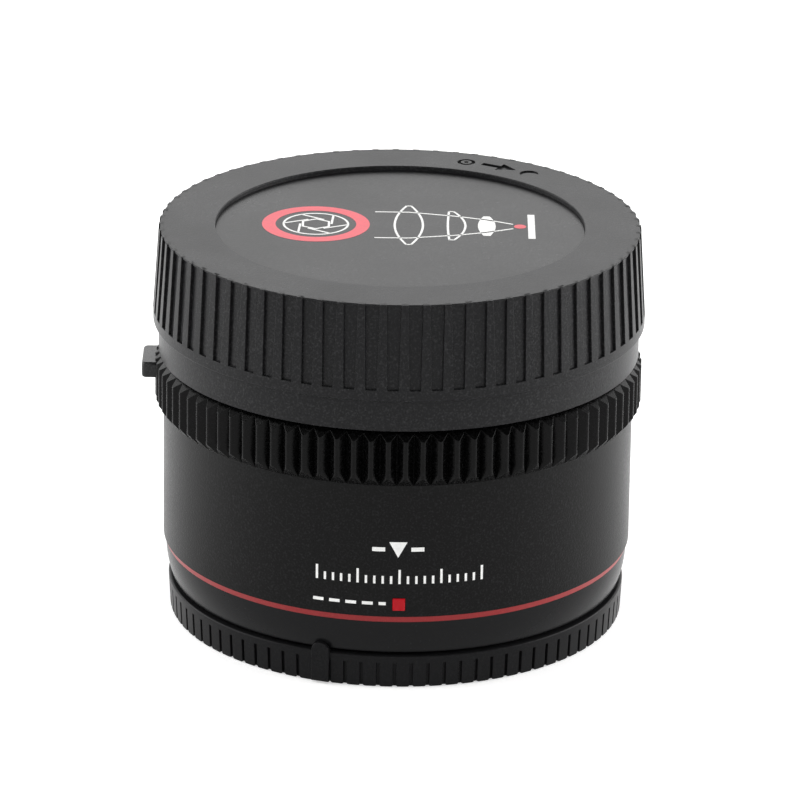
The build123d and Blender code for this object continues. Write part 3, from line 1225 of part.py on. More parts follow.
def main():
    """Write one STEP file for each node."""
    os.makedirs("parts", exist_ok=True)
    for name, shape in all_nodes().items():
        export_step(shape, f"parts/{name}.step")


main()
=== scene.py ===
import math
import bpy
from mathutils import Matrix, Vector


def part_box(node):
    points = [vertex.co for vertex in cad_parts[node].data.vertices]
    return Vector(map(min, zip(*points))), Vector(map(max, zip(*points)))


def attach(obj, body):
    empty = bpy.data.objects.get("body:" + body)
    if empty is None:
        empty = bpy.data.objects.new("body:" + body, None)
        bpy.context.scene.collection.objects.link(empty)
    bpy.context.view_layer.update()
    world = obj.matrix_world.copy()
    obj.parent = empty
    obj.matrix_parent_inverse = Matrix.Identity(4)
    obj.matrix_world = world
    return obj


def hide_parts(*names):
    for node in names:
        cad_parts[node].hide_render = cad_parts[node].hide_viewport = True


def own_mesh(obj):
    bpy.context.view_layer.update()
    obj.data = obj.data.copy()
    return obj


bl_info = {
    "name": "Camera teleconverter with two caps",
    "version": (1, 0, 0),
    "blender": (4, 5, 0),
    "location": "3D View > Sidebar > Converter",
    "description": "Dresses the packed teleconverter with moulded caps, a fluted ring and finishes",
    "category": "Object",
}

import bmesh
import bpy
from bpy.props import FloatProperty, FloatVectorProperty, IntProperty, PointerProperty
from bpy.types import Operator, Panel, PropertyGroup
from mathutils import Matrix, Vector

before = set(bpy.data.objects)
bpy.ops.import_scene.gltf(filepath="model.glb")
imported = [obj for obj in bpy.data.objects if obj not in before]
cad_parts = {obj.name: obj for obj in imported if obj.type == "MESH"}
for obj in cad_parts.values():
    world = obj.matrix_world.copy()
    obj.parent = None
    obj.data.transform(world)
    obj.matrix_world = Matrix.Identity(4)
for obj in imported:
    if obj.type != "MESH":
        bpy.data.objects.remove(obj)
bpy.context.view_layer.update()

# Sizes are written in millimetres and times MM gives Blender's metres. The camera side is down,
# the lens side is up, the red square faces -Y and the release tab stands out at -X.
MM = 0.001
MERGE_DISTANCE = MM / 2000
FULL_TURN = 2 * math.pi
X, Y, Z = range(3)
INK_THICKNESS = 0.02
RED_SQUARE_SIDE = -89.1
RIM_MARK_DEPTH = 0.3
FLEX_RADIUS = 29
FLEX_STRIP = 0.7


def linear(code):
    """Turns an sRGB hex value into linear red, green and blue."""
    parts = [int(code[i:i + 2], 16) / 255 for i in (0, 2, 4)]
    return tuple(p / 12.92 if p <= 0.04045 else ((p + 0.055) / 1.055) ** 2.4 for p in parts)


def cad(node):
    """Lowest and highest corner of a CAD node in millimetres."""
    low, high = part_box(node)
    return low / MM, high / MM


CAP_LOW, CAP_HIGH = cad("front_cap")
RING_LOW, RING_HIGH = cad("grip_ring")
REAR_HIGH = cad("rear_cap")[1]
INSERT_LOW, INSERT_HIGH = cad("cap_insert")
MARK_LOW, MARK_HIGH = cad("index_mark")
BARREL_HIGH = cad("main_barrel")[1]
COLLAR_LOW, COLLAR_HIGH = cad("rear_collar")
TAB_LOW = cad("release_lever")[0]


# Sizes and colours that a user would change

def length(name, note, value):
    """A length property in metres whose default is given in millimetres."""
    return FloatProperty(name=name, description=note, default=value * MM, min=0, unit="LENGTH",
                         precision=5)


def tint(name, note, code):
    """A colour property whose default is an sRGB hex value."""
    return FloatVectorProperty(name=name, description=note, default=linear(code), size=3, min=0,
                               max=1, subtype="COLOR")


class CapSizes(PropertyGroup):
    """Sizes of the deep lens side cap."""
    rib_count: IntProperty(name="Ribs", description="Ribs round the cap", default=72, min=3)
    rib_top: length("Rib width at top", "Width of a rib under the cap's top", 0.95)
    rib_foot: length("Rib width at foot", "Width of a rib above the smooth band", 1.52)
    rib_depth: length("Rib depth", "How far a rib stands out of the wall", 0.42)
    rib_edge: length("Rib edge", "Rounding along a rib's long edges", 0.07)
    top_edge: length("Top edge", "Rounding of the ribs' top ends", 0.12)
    lip: length("Lip", "Thickness of the top's edge over the grooves", 0.22)
    recess_edge: length("Recess edge", "Rounding of the edge round the printed disc", 0.18)
    mark_circle: length("Mark circle", "Distance of the rim marks from the axis", 29.8)


class RingSizes(PropertyGroup):
    """Sizes of the fluted ring."""
    tooth_count: IntProperty(name="Teeth", description="Teeth round the ring", default=90, min=3)
    crest_share: FloatProperty(name="Crest share", description="Share of the pitch that is crest",
                               default=0.2, min=0, max=1, subtype="FACTOR")
    tooth_depth: length("Tooth depth", "Height of a tooth over the groove's bottom", 1.2)
    foot_bevel: length("Foot bevel", "Height of the bevel at a tooth's camera end", 1.3)
    top_bevel: length("Top bevel", "Height of the bevel at a tooth's lens end", 0.95)
    edge: length("Crest edge", "Rounding along a tooth's edges", 0.05)
    crown: length("Crown", "Rounding along a tooth's crest", 0.2)
    groove: length("Groove floor", "Width of the flat at a groove's bottom", 0.12)


class RearCapSizes(PropertyGroup):
    """Sizes of the thin camera side cap."""
    groove_count: IntProperty(name="Grooves", description="Grooves round the cap", default=88, min=3)
    groove_width: length("Groove width", "Width of a groove", 0.45)
    groove_depth: length("Groove depth", "Depth of a groove", 0.45)
    lip: length("Lip", "Height of the smooth lip over the grooves", 1.1)


class InkSizes(PropertyGroup):
    """Sizes and colours of what is printed."""
    line: length("Line", "Width of a printed line on the disc", 0.32)
    tick: length("Tick", "Width of a printed tick on the barrel", 0.33)
    white: tint("White ink", "Ink of the lines and ticks", "FAFAF8")
    coral: tint("Coral ink", "Ink of the accents on the disc", "EC6D76")


class ConverterSettings(PropertyGroup):
    """All settings of the teleconverter."""
    cap: PointerProperty(type=CapSizes)
    ring: PointerProperty(type=RingSizes)
    rear_cap: PointerProperty(type=RearCapSizes)
    collar_taper: length("Collar taper", "How far the collar curves in at its foot", 0.85)
    tab_edge: length("Tab edge", "Rounding of the release tab's edges", 0.35)
    ink: PointerProperty(type=InkSizes)


# Modelling, as by hand

def make_active(piece):
    """Makes a piece the active object and the only selected one."""
    bpy.ops.object.select_all(action="DESELECT")
    piece.select_set(True)
    bpy.context.view_layer.objects.active = piece


def open_piece(name):
    """Adds an empty mesh at the origin and opens it for editing."""
    bpy.ops.object.select_all(action="DESELECT")
    bpy.ops.object.add(type="MESH")
    piece = bpy.context.object
    piece.name = piece.data.name = name
    bpy.ops.object.mode_set(mode="EDIT")
    bpy.ops.mesh.select_mode(type="VERT")
    return piece


def choose_all():
    """Selects everything that shows in edit mode."""
    bpy.ops.mesh.select_all(action="SELECT")


def choose_none():
    """Selects nothing in edit mode."""
    bpy.ops.mesh.select_all(action="DESELECT")


def merge_doubles():
    """Merges the selected vertices that lie on each other."""
    bpy.ops.mesh.remove_doubles(threshold=MERGE_DISTANCE)


def face_outwards():
    """Turns all faces that show outwards and leaves them selected."""
    choose_all()
    bpy.ops.mesh.normals_make_consistent(inside=False)


def close_piece(piece):
    """Merges doubles, turns the faces outwards and leaves edit mode."""
    bpy.ops.mesh.reveal()
    choose_all()
    merge_doubles()
    face_outwards()
    bpy.ops.object.mode_set(mode="OBJECT")
    return piece


def pick(piece, kind, test):
    """Selects in edit mode just the vertices, edges or faces that show and pass a test."""
    bpy.ops.mesh.select_mode(type=kind)
    choose_none()
    mesh = bmesh.from_edit_mesh(piece.data)
    for part in {"VERT": mesh.verts, "EDGE": mesh.edges, "FACE": mesh.faces}[kind]:
        if not part.hide and test(part):
            part.select = True
    mesh.select_flush_mode()
    bmesh.update_edit_mesh(piece.data)


def lower_end(edge, axis):
    """The lower of an edge's two ends along an axis, in metres."""
    return min(vert.co[axis] for vert in edge.verts)


def upper_end(edge, axis):
    """The higher of an edge's two ends along an axis, in metres."""
    return max(vert.co[axis] for vert in edge.verts)


def run(edge, axis):
    """How far an edge reaches along an axis, in metres."""
    return upper_end(edge, axis) - lower_end(edge, axis)


def extrude(step):
    """Extrudes what is selected by a step in metres."""
    bpy.ops.mesh.extrude_region_move(TRANSFORM_OT_translate={"value": step})


def stretch(shares, middle):
    """Stretches what is selected about a point in metres."""
    bpy.ops.transform.resize(value=shares, center_override=middle)


def round_edges(piece, offset, segments, test):
    """Rounds the edges that pass a test by an offset in metres."""
    pick(piece, "EDGE", test)
    bpy.ops.mesh.bevel(offset=offset, segments=segments, affect="EDGES")


def block(name, middle, width, breadth, rise, taper=1):
    """Opens a piece with a block on a middle point, which rises by a step and may taper in Y."""
    piece = open_piece(name)
    bpy.ops.mesh.primitive_plane_add(size=MM, location=middle)
    stretch((width, breadth, 1), middle)
    extrude(rise)
    stretch((1, taper, 1), middle + rise)
    face_outwards()
    return piece


def put_aside():
    """Hides what is finished, so that the next step acts on new faces only."""
    choose_all()
    bpy.ops.mesh.hide(unselected=False)


def draw_chain(points):
    """Draws a chain of straight edges through points given in millimetres."""
    bpy.ops.mesh.select_mode(type="VERT")
    choose_none()
    bpy.ops.mesh.primitive_plane_add(size=MM, location=Vector(points[0]) * MM)
    bpy.ops.mesh.merge(type="CENTER")
    for last, point in zip(points, points[1:]):
        step = (Vector(point) - Vector(last)) * MM
        bpy.ops.mesh.extrude_vertices_move(TRANSFORM_OT_translate={"value": step})


def draw_profile(piece, points):
    """Draws a chain of (radius, height, rounding) in the XZ plane and rounds its corners."""
    draw_chain([(point[0], 0, point[1]) for point in points])
    for last, point, after in zip(points, points[1:], points[2:]):
        if len(point) < 3:
            continue
        corner = Vector((point[0] * MM, 0, point[1] * MM))
        pick(piece, "VERT", lambda vert: (vert.co - corner).length < 4 * MERGE_DISTANCE)
        into = Vector(point[:2]) - Vector(last[:2])
        out = Vector(after[:2]) - Vector(point[:2])
        reach = point[2] * math.tan(into.angle(out) / 2)
        bpy.ops.mesh.bevel(offset=reach * MM, segments=4, affect="VERTICES")


def spin_round(steps):
    """Turns the drawn profile once round the optical axis."""
    bpy.ops.mesh.select_mode(type="EDGE")
    choose_all()
    bpy.ops.mesh.spin(steps=steps, angle=FULL_TURN, center=(0, 0, 0), axis=(0, 0, 1))
    choose_all()
    merge_doubles()


def turned(name, points, steps):
    """A closed piece turned from a profile in one go."""
    piece = open_piece(name)
    draw_profile(piece, points)
    spin_round(steps)
    return close_piece(piece)


def turn_all(degrees):
    """Turns everything that shows round the optical axis, anticlockwise from above."""
    choose_all()
    bpy.ops.transform.rotate(value=-math.radians(degrees), orient_axis="Z", center_override=(0, 0, 0))


def repeat_round(count, first):
    """Turns everything to its first place and copies it evenly round the optical axis."""
    turn_all(first)
    bpy.ops.mesh.spin(steps=count - 1, dupli=True, angle=FULL_TURN * (count - 1) / count,
                      center=(0, 0, 0), axis=(0, 0, 1))


def turn_block(piece, radii, heights, first, spread, steps):
    """Turns a rectangle anticlockwise into a closed block; angles in degrees."""
    (inner, outer), (foot, top) = radii, heights
    draw_profile(piece, [(inner, foot), (outer, foot), (outer, top), (inner, top), (inner, foot)])
    bpy.ops.mesh.select_mode(type="EDGE")
    turn_all(first)
    bpy.ops.mesh.spin(steps=steps, angle=-math.radians(spread), center=(0, 0, 0), axis=(0, 0, 1))
    choose_all()
    merge_doubles()
    choose_none()
    bpy.ops.mesh.select_non_manifold()
    bpy.ops.mesh.edge_face_add()


def join(name, pieces):
    """Joins pieces into the first one."""
    make_active(pieces[0])
    for piece in pieces:
        piece.select_set(True)
    bpy.ops.object.join()
    pieces[0].name = pieces[0].data.name = name
    return pieces[0]


def cut(piece, cutter):
    """Cuts a closed shape out of a closed piece."""
    make_active(piece)
    difference = piece.modifiers.new("Cut", "BOOLEAN")
    difference.operation = "DIFFERENCE"
    difference.solver = "EXACT"
    difference.object = cutter
    bpy.ops.object.modifier_apply(modifier=difference.name)
    bpy.data.objects.remove(cutter)


def finish_piece(piece, body, slot, finish, *nodes):
    """Shades a piece so that its flats stay flat, gives it its finish and body, and hides the CAD nodes
    it stands in for.
    """
    make_active(piece)
    bpy.ops.object.shade_smooth_by_angle(angle=math.radians(35))
    flats = piece.modifiers.new("Flats", "WEIGHTED_NORMAL")
    flats.keep_sharp = True
    bpy.ops.object.modifier_apply(modifier=flats.name)
    piece.data.materials.clear()
    piece.data.materials.append(bpy.data.materials[finish])
    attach(piece, body)
    if nodes:
        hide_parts(*nodes)


# Finishes

def start(name):
    """A new material with its tree, its shader and the coordinates of the object."""
    made = bpy.data.materials.new(name)
    made.use_nodes = True
    tree = made.node_tree
    shader = tree.nodes["Principled BSDF"]
    place = add(tree, "TexCoord")
    return made, tree, shader, (place, "Object")


def add(tree, kind, values=None, links=None, **settings):
    """Adds a node with its settings, its values by socket and its links by socket."""
    node = tree.nodes.new("ShaderNode" + kind)
    for key, value in settings.items():
        setattr(node, key, value)
    for key, value in (values or {}).items():
        node.inputs[key].default_value = value
    for key, (source, output) in (links or {}).items():
        tree.links.new(source.outputs[output], node.inputs[key])
    return node


def noise(tree, place, size, **more):
    """Noise whose spots have a size in millimetres."""
    return add(tree, "TexNoise", {"Scale": 1 / (size * MM), **more}, {"Vector": place})


def across_the_axis(tree, place):
    """Coordinates of distance from the optical axis and height, for marks left by turning."""
    flat = add(tree, "VectorMath", {1: (1, 1, 0)}, {0: place}, operation="MULTIPLY")
    out = add(tree, "VectorMath", {}, {0: (flat, 0)}, operation="LENGTH")
    split = add(tree, "SeparateXYZ", {}, {0: place})
    return add(tree, "CombineXYZ", {}, {0: (out, 1), 2: (split, 2)}), 0


def coloured(tree, shader, colours, share):
    """Mixes two linear colours by a share and hands them to the shader."""
    first, second = colours
    shade = add(tree, "Mix", {6: (*first, 1), 7: (*second, 1)}, {0: share}, data_type="RGBA")
    tree.links.new(shade.outputs[2], shader.inputs["Base Color"])


def surfaced(tree, shader, clouds, span, rough, height, relief):
    """Hands the shader a roughness that follows clouds, and a relief in millimetres."""
    gloss = add(tree, "MapRange", {1: span[0], 2: span[1], 3: rough[0], 4: rough[1]}, {0: clouds})
    bump = add(tree, "Bump", {"Strength": 1, "Distance": height * MM}, {"Height": relief})
    tree.links.new(gloss.outputs[0], shader.inputs["Roughness"])
    tree.links.new(bump.outputs[0], shader.inputs["Normal"])


def grained(name, codes, grain, height, rough, specular=0.5, cloud=9, metal=0):
    """A skin with fine grain of a size in millimetres, lighter specks on the grain, and broad clouds of
    gloss.
    """
    made, tree, shader, place = start(name)
    fine = noise(tree, place, grain, Detail=3, Roughness=0.6)
    slow = noise(tree, place, cloud, Detail=2)
    both = add(tree, "Math", {1: 0.4}, {0: (slow, 0), 2: (fine, 0)}, operation="MULTIPLY_ADD")
    specks = add(tree, "MapRange", {1: 0.5, 2: 0.75}, {0: (fine, 0)})
    coloured(tree, shader, map(linear, codes), (specks, 0))
    shader.inputs["Metallic"].default_value = metal
    if not metal:
        shader.inputs["Specular IOR Level"].default_value = specular
    surfaced(tree, shader, (both, 0), (0.45, 0.95), rough, height, (fine, 0))
    return made


def lathe_turned(name, codes, mark, height, rough, metal=1):
    """Metal turned on a lathe: fine marks round the axis and clouds of duller polish."""
    made, tree, shader, place = start(name)
    lines = noise(tree, across_the_axis(tree, place), mark, Detail=2)
    slow = noise(tree, place, 6, Detail=3)
    both = add(tree, "Math", {}, {0: (lines, 0), 1: (slow, 0)}, operation="ADD")
    coloured(tree, shader, map(linear, codes), (slow, 0))
    shader.inputs["Metallic"].default_value = metal
    surfaced(tree, shader, (both, 0), (0.7, 1.3), rough, height, (lines, 0))
    return made


def masked_board():
    """Solder mask over copper: traces stand a little proud and lighter under the green."""
    made, tree, shader, place = start("Solder mask over copper")
    cells = add(tree, "TexVoronoi", {"Scale": 1 / (1.3 * MM), "Randomness": 0.85},
                {"Vector": place}, feature="DISTANCE_TO_EDGE")
    trace = add(tree, "MapRange", {1: 0.12, 2: 0.06}, {0: (cells, 0)}, interpolation_type="SMOOTHSTEP")
    coloured(tree, shader, map(linear, ("0E4A28", "1D7A46")), (trace, 0))
    grain = noise(tree, place, 0.4)
    surfaced(tree, shader, (grain, 0), (0, 1), (0.25, 0.45), 0.02, (trace, 0))
    return made


def laminated_flex():
    """Polyimide film over copper strips: amber, with darker strips round the axis."""
    made, tree, shader, place = start("Polyimide film, laminated")
    split = add(tree, "SeparateXYZ", {}, {0: place})
    turn = add(tree, "Math", {}, {0: (split, 1), 1: (split, 0)}, operation="ARCTAN2")
    strips = add(tree, "Math", {1: FLEX_RADIUS / FLEX_STRIP}, {0: (turn, 0)}, operation="MULTIPLY")
    wave = add(tree, "Math", {1: 0.5}, {0: (strips, 0)}, operation="PINGPONG")
    strip = add(tree, "MapRange", {1: 0.18, 2: 0.28}, {0: (wave, 0)})
    coloured(tree, shader, map(linear, ("C9893A", "8F4F22")), (strip, 0))
    grain = noise(tree, place, 2)
    surfaced(tree, shader, (grain, 0), (0, 1), (0.2, 0.35), 0.01, (strip, 0))
    return made


def coated_glass():
    """Polished optical glass: clear, with a thin coating whose reflections turn blue green."""
    made, tree, shader, place = start("Optical glass, polished and coated")
    haze = noise(tree, place, 3, Detail=4)
    gloss = add(tree, "MapRange", {1: 0.45, 2: 0.8, 3: 0, 4: 0.05}, {0: (haze, 0)})
    coloured(tree, shader, map(linear, ("F4FBF8", "EAF6F2")), (haze, 0))
    for key, value in (("IOR", 1.6), ("Transmission Weight", 1), ("Thin Film Thickness", 110),
                       ("Thin Film IOR", 1.38)):
        shader.inputs[key].default_value = value
    tree.links.new(gloss.outputs[0], shader.inputs["Roughness"])
    return made


def printed_ink(name, colour):
    """Screen printed ink: opaque, dull, a little thinner here and there."""
    made, tree, shader, place = start(name)
    thin = noise(tree, place, 0.5, Detail=2)
    share = add(tree, "MapRange", {1: 0.3, 2: 0.7}, {0: (thin, 0)})
    coloured(tree, shader, ([part * 0.9 for part in colour], colour), (share, 0))
    gloss = add(tree, "MapRange", {3: 0.5, 4: 0.7}, {0: (thin, 0)})
    tree.links.new(gloss.outputs[0], shader.inputs["Roughness"])
    return made


def finishes(ink):
    """Every finish by the name of its material slot."""
    # Finer mould grain than the deep cap's, which leaves it softer; its darker colour is painted shade,
    # for the shade it sits in low by the floor
    grained("Polycarbonate with painted shade, satin", ("141415", "202021"), 0.25, 0.006, (0.26, 0.38), 0.08)
    printed_ink("White screen ink", ink.white)
    printed_ink("Coral screen ink", ink.coral)
    return {
        # Spark eroded mould: dull, an even grain that glitters faintly, clouds of gloss. The
        # real grain of 0.1 mm is too fine to show, so it is drawn three times as coarse.
        "cap_plastic": grained("Polycarbonate, spark grained", ("1A1A1B", "363637"), 0.3, 0.025,
                               (0.26, 0.38), 0.12),
        # Film with a satin lacquer: flatter than the cap, with the same dark grey.
        "insert_print": grained("Polyester film, satin", ("131314", "1E1E1F"), 0.35, 0.008,
                                (0.26, 0.36), 0.16, 14),
        # Sprayed and baked: small beads of lacquer that catch the light as specks.
        "barrel_paint": grained("Matt lacquer, sprayed", ("040404", "1D1D1E"), 0.3, 0.03,
                                (0.26, 0.4), 0.12, 16),
        # Blasted before anodising: a dry deep black with a fine sparkle.
        "grip_anodised": grained("Aluminium, black anodised", ("020202", "121213"), 0.3, 0.016,
                                 (0.2, 0.32), 0.11, 6),
        # Anodised red, then sealed: a plain even red with a soft shine.
        "accent_paint": grained("Aluminium, red anodised", ("8E2628", "9C3032"), 0.3, 0.002,
                                (0.3, 0.42), 0.2),
        # Polished mould: smooth, wide soft highlights and hardly any grain.
        "collar_plastic": grained("Polycarbonate, semi gloss", ("131314", "171718"), 0.35, 0.001,
                                  (0.2, 0.28), 0.11, 14),
        # Poured into its seat: glassy red with a domed edge.
        "index_red": grained("Red enamel", ("B00A19", "B80F20"), 0.5, 0.0005, (0.08, 0.14), 0.15),
        # Fine matt on the faces that a thumb pushes.
        "lever_black": grained("Acetal, fine matt", ("0A0A0B", "38383A"), 0.25, 0.02,
                               (0.24, 0.36), 0.3, 5),
        # Turned brass under hard chrome: bright, with fine rings round the axis.
        "mount_chrome": lathe_turned("Brass, chromed", ("C2C3C5", "D2D3D4"), 0.3, 0.0015,
                                     (0.14, 0.28)),
        # Nickel over steel: warm white metal with small changes of polish.
        "screw_steel": grained("Steel, nickel plated", ("A9A8A4", "BDBCB8"), 0.5, 0.002,
                               (0.2, 0.34), metal=1),
        # Black oxide: blue black, slightly oily.
        "black_screw": grained("Steel, black oxide", ("1B1C1F", "2A2B2E"), 0.3, 0.003,
                               (0.35, 0.5), metal=1),
        # Rolled foil: yellow, with long faint bands from the rollers.
        "shim_brass": lathe_turned("Brass foil, rolled", ("B8924C", "CBA660"), 0.8, 0.001,
                                   (0.25, 0.4)),
        # Hardened strip: blue grey, dull.
        "spring_steel": grained("Spring steel, tempered", ("83848A", "9B9A98"), 0.4, 0.002,
                                (0.3, 0.42), metal=1),
        # Centreless ground: bright, finely scratched.
        "pin_steel": grained("Steel, ground", ("A8A9AA", "BBBCBD"), 0.15, 0.002, (0.16, 0.28),
                             metal=1),
        # Soft nitrile: dead black with a bloom.
        "seal_rubber": grained("Nitrile rubber, moulded", ("0B0B0B", "161616"), 0.3, 0.01,
                               (0.7, 0.85), 0.3, 4),
        # Light trap: the deepest black of all, no shine.
        "baffle_black": grained("Matt black light trap paint", ("050505", "0A0A0A"), 0.2, 0.01,
                                (0.85, 0.95), 0.15, 5),
        # Glass filled: dark grey with pale specks of fibre.
        "contact_plastic": grained("Polyamide, glass filled", ("0E0E0F", "1E1E20"), 0.25, 0.004,
                                   (0.45, 0.6), 0.4, 3),
        # Thin hard gold: warm, mirror like, lightly rubbed.
        "contact_gold": grained("Brass, gold plated", ("CE9D43", "DDB05A"), 0.3, 0.002,
                                (0.15, 0.3), metal=1),
        # Turned and anodised: black with fine rings that keep light out of the glass.
        "tube_black": lathe_turned("Aluminium, turned and black anodised", ("0B0B0C", "121213"),
                                   0.35, 0.006, (0.4, 0.55), 0),
        # Cast skin: grey, pebbled where the mould was rough.
        "chassis_alloy": grained("Magnesium alloy, die cast", ("7E8082", "989A9C"), 0.7, 0.02,
                                 (0.4, 0.6), metal=1, cloud=5),
        "board_green": masked_board(),
        # Moulded epoxy: charcoal, laser matt.
        "chip_black": grained("Epoxy, moulded", ("111112", "1D1D1E"), 0.15, 0.003, (0.5, 0.65),
                              0.4, 2),
        "flex_amber": laminated_flex(),
        "optical_glass": coated_glass(),
    }


# Pieces. Radii, heights and widths in a class are millimetres that the CAD nodes don't give.

class CONVERTER_OT_finishes(Operator):
    """Give every CAD node the finish of its material slot"""
    bl_idname = "converter.finishes"
    bl_label = "Finishes"

    def execute(self, context):
        made = finishes(context.scene.converter.ink)
        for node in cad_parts.values():
            for place in node.material_slots:
                if place.material.name in made:
                    place.material = made[place.material.name]
        return {"FINISHED"}


class CONVERTER_OT_front_cap(Operator):
    """Model the deep cap: turned shell, tapered ribs and sunk marks on its rim"""
    bl_idname = "converter.front_cap"
    bl_label = "Lens side cap"

    INNER_RADIUS = 32
    SKIRT_RADIUS = 34
    TOP_THICKNESS = 1.5
    DISC_CLEARANCE = 0.05
    # Heights over the foot
    SKIRT_TOP = 4.35
    BAND_FOOT = 4.7
    BAND_TOP = 6.2
    # How far the ribs lean in, and how far the lip stays behind their crests
    LEAN = 0.81
    LIP_SETBACK = 0.18
    # How far the ribs reach into the wall and into the band
    RIB_SUNK = 0.3
    RIB_OVERLAP = 0.05
    FIRST_RIB_SIDE = -88.6
    # Marks on the rim: sides in degrees, and sizes of ring, dot, arrow and crescent
    RING_SIDE, ARROW_SIDE, CRESCENT_SIDE = 71.5, 61.5, 51.7
    RING_RADII = 0.8, 1.3
    DOT_RADIUS = 0.35
    SHAFT_HALF, HEAD_HALF, ARROW_HALF = 0.5, 1.5, 2.8
    CRESCENT_RADIUS = 1.35
    BITE_SHIFT = -0.75
    OVERRUN = 0.5

    def execute(self, context):
        sizes = context.scene.converter.cap
        shell = self.shell(sizes)
        for cutter in self.rim_cutters(sizes.mark_circle):
            cut(shell, cutter)
        cap = join("front_cap_moulded", [shell, self.ribs(sizes)])
        finish_piece(cap, "top_cap", "cap_plastic", "Polycarbonate, spark grained", "front_cap")
        return {"FINISHED"}

    def shell(self, sizes):
        """Turned shell: skirt, band, groove floor, lip, and the recess for the printed disc."""
        foot, top = CAP_LOW.z, CAP_HIGH.z
        seat = INSERT_LOW.z
        ceiling = seat - self.TOP_THICKNESS
        band = CAP_HIGH.x
        floor = band - sizes.rib_depth / MM
        lip_foot = top - sizes.lip / MM
        lip = band - self.LEAN - self.LIP_SETBACK
        recess = INSERT_HIGH.x + self.DISC_CLEARANCE
        return turned("cap_shell", [
            (0, ceiling), (self.INNER_RADIUS, ceiling, 0.5), (self.INNER_RADIUS, foot),
            (self.SKIRT_RADIUS, foot, 0.18), (self.SKIRT_RADIUS, foot + self.SKIRT_TOP, 0.1),
            (band, foot + self.BAND_FOOT, 0.12), (band, foot + self.BAND_TOP, 0.05),
            (floor, foot + self.BAND_TOP), (floor - self.LEAN, lip_foot - 0.1), (lip, lip_foot),
            (lip, top, 0.1), (recess, top, sizes.recess_edge / MM), (recess, seat, 0.1),
            (0, seat)], 288)

    def ribs(self, sizes):
        """Ribs that narrow and lean in towards the top, rounded along their edges."""
        top = CAP_HIGH.z
        foot = CAP_LOW.z + self.BAND_TOP - self.RIB_OVERLAP
        thick = sizes.rib_depth / MM + self.RIB_SUNK
        middle = Vector((CAP_HIGH.x - thick / 2, 0, foot)) * MM
        rise = Vector((-self.LEAN, 0, top - foot)) * MM
        ribs = block("cap_ribs", middle, thick, sizes.rib_foot / MM, rise, sizes.rib_top / sizes.rib_foot)
        crest = middle.x + rise.x
        round_edges(ribs, sizes.rib_edge, 3,
                    lambda edge: lower_end(edge, X) > crest and run(edge, Z) > MM)
        round_edges(ribs, sizes.top_edge, 3,
                    lambda edge: lower_end(edge, Z) > (top - 0.01) * MM
                    and lower_end(edge, X) > crest)
        repeat_round(sizes.rib_count, self.FIRST_RIB_SIDE)
        return close_piece(ribs)

    def rim_cutters(self, circle):
        """Ring with a dot, arrow that points clockwise and crescent, each standing at its place."""
        low, high = CAP_HIGH.z - RIM_MARK_DEPTH, CAP_HIGH.z + self.OVERRUN
        inner, outer = self.RING_RADII
        ring = open_piece("mark_ring")
        draw_profile(ring, [(inner, low), (outer, low), (outer, high), (inner, high), (inner, low)])
        spin_round(40)
        self.stand(ring, circle, self.RING_SIDE)
        dot = self.upright_disc("mark_dot", 24, self.DOT_RADIUS, 0, low, high)
        self.stand(dot, circle, self.RING_SIDE)
        arrow = open_piece("mark_arrow")
        shaft, head, length = self.SHAFT_HALF, self.HEAD_HALF, self.ARROW_HALF
        draw_chain([(shaft, length, low), (shaft, 0, low), (head, 0, low), (0, -length, low),
                    (-head, 0, low), (-shaft, 0, low), (-shaft, length, low)])
        choose_all()
        bpy.ops.mesh.edge_face_add()
        extrude((0, 0, (high - low) * MM))
        self.stand(arrow, circle, self.ARROW_SIDE)
        crescent = self.upright_disc("mark_crescent", 40, self.CRESCENT_RADIUS, 0, low, high)
        close_piece(crescent)
        bite = self.upright_disc("mark_bite", 40, self.CRESCENT_RADIUS, self.BITE_SHIFT,
                                 low - self.OVERRUN, high + self.OVERRUN)
        cut(crescent, close_piece(bite))
        bpy.ops.object.mode_set(mode="EDIT")
        self.stand(crescent, circle, self.CRESCENT_SIDE)
        return ring, dot, arrow, crescent

    def upright_disc(self, name, corners, radius, shift, low, high):
        """A disc from one height to another, left open for editing."""
        piece = open_piece(name)
        bpy.ops.mesh.primitive_circle_add(vertices=corners, radius=radius * MM, fill_type="NGON",
                                          location=(shift * MM, shift * MM, low * MM))
        extrude((0, 0, (high - low) * MM))
        return piece

    def stand(self, mark, circle, side):
        """Moves a mark out to the rim and turns it to its side."""
        choose_all()
        bpy.ops.transform.translate(value=(circle, 0, 0))
        turn_all(side)
        close_piece(mark)


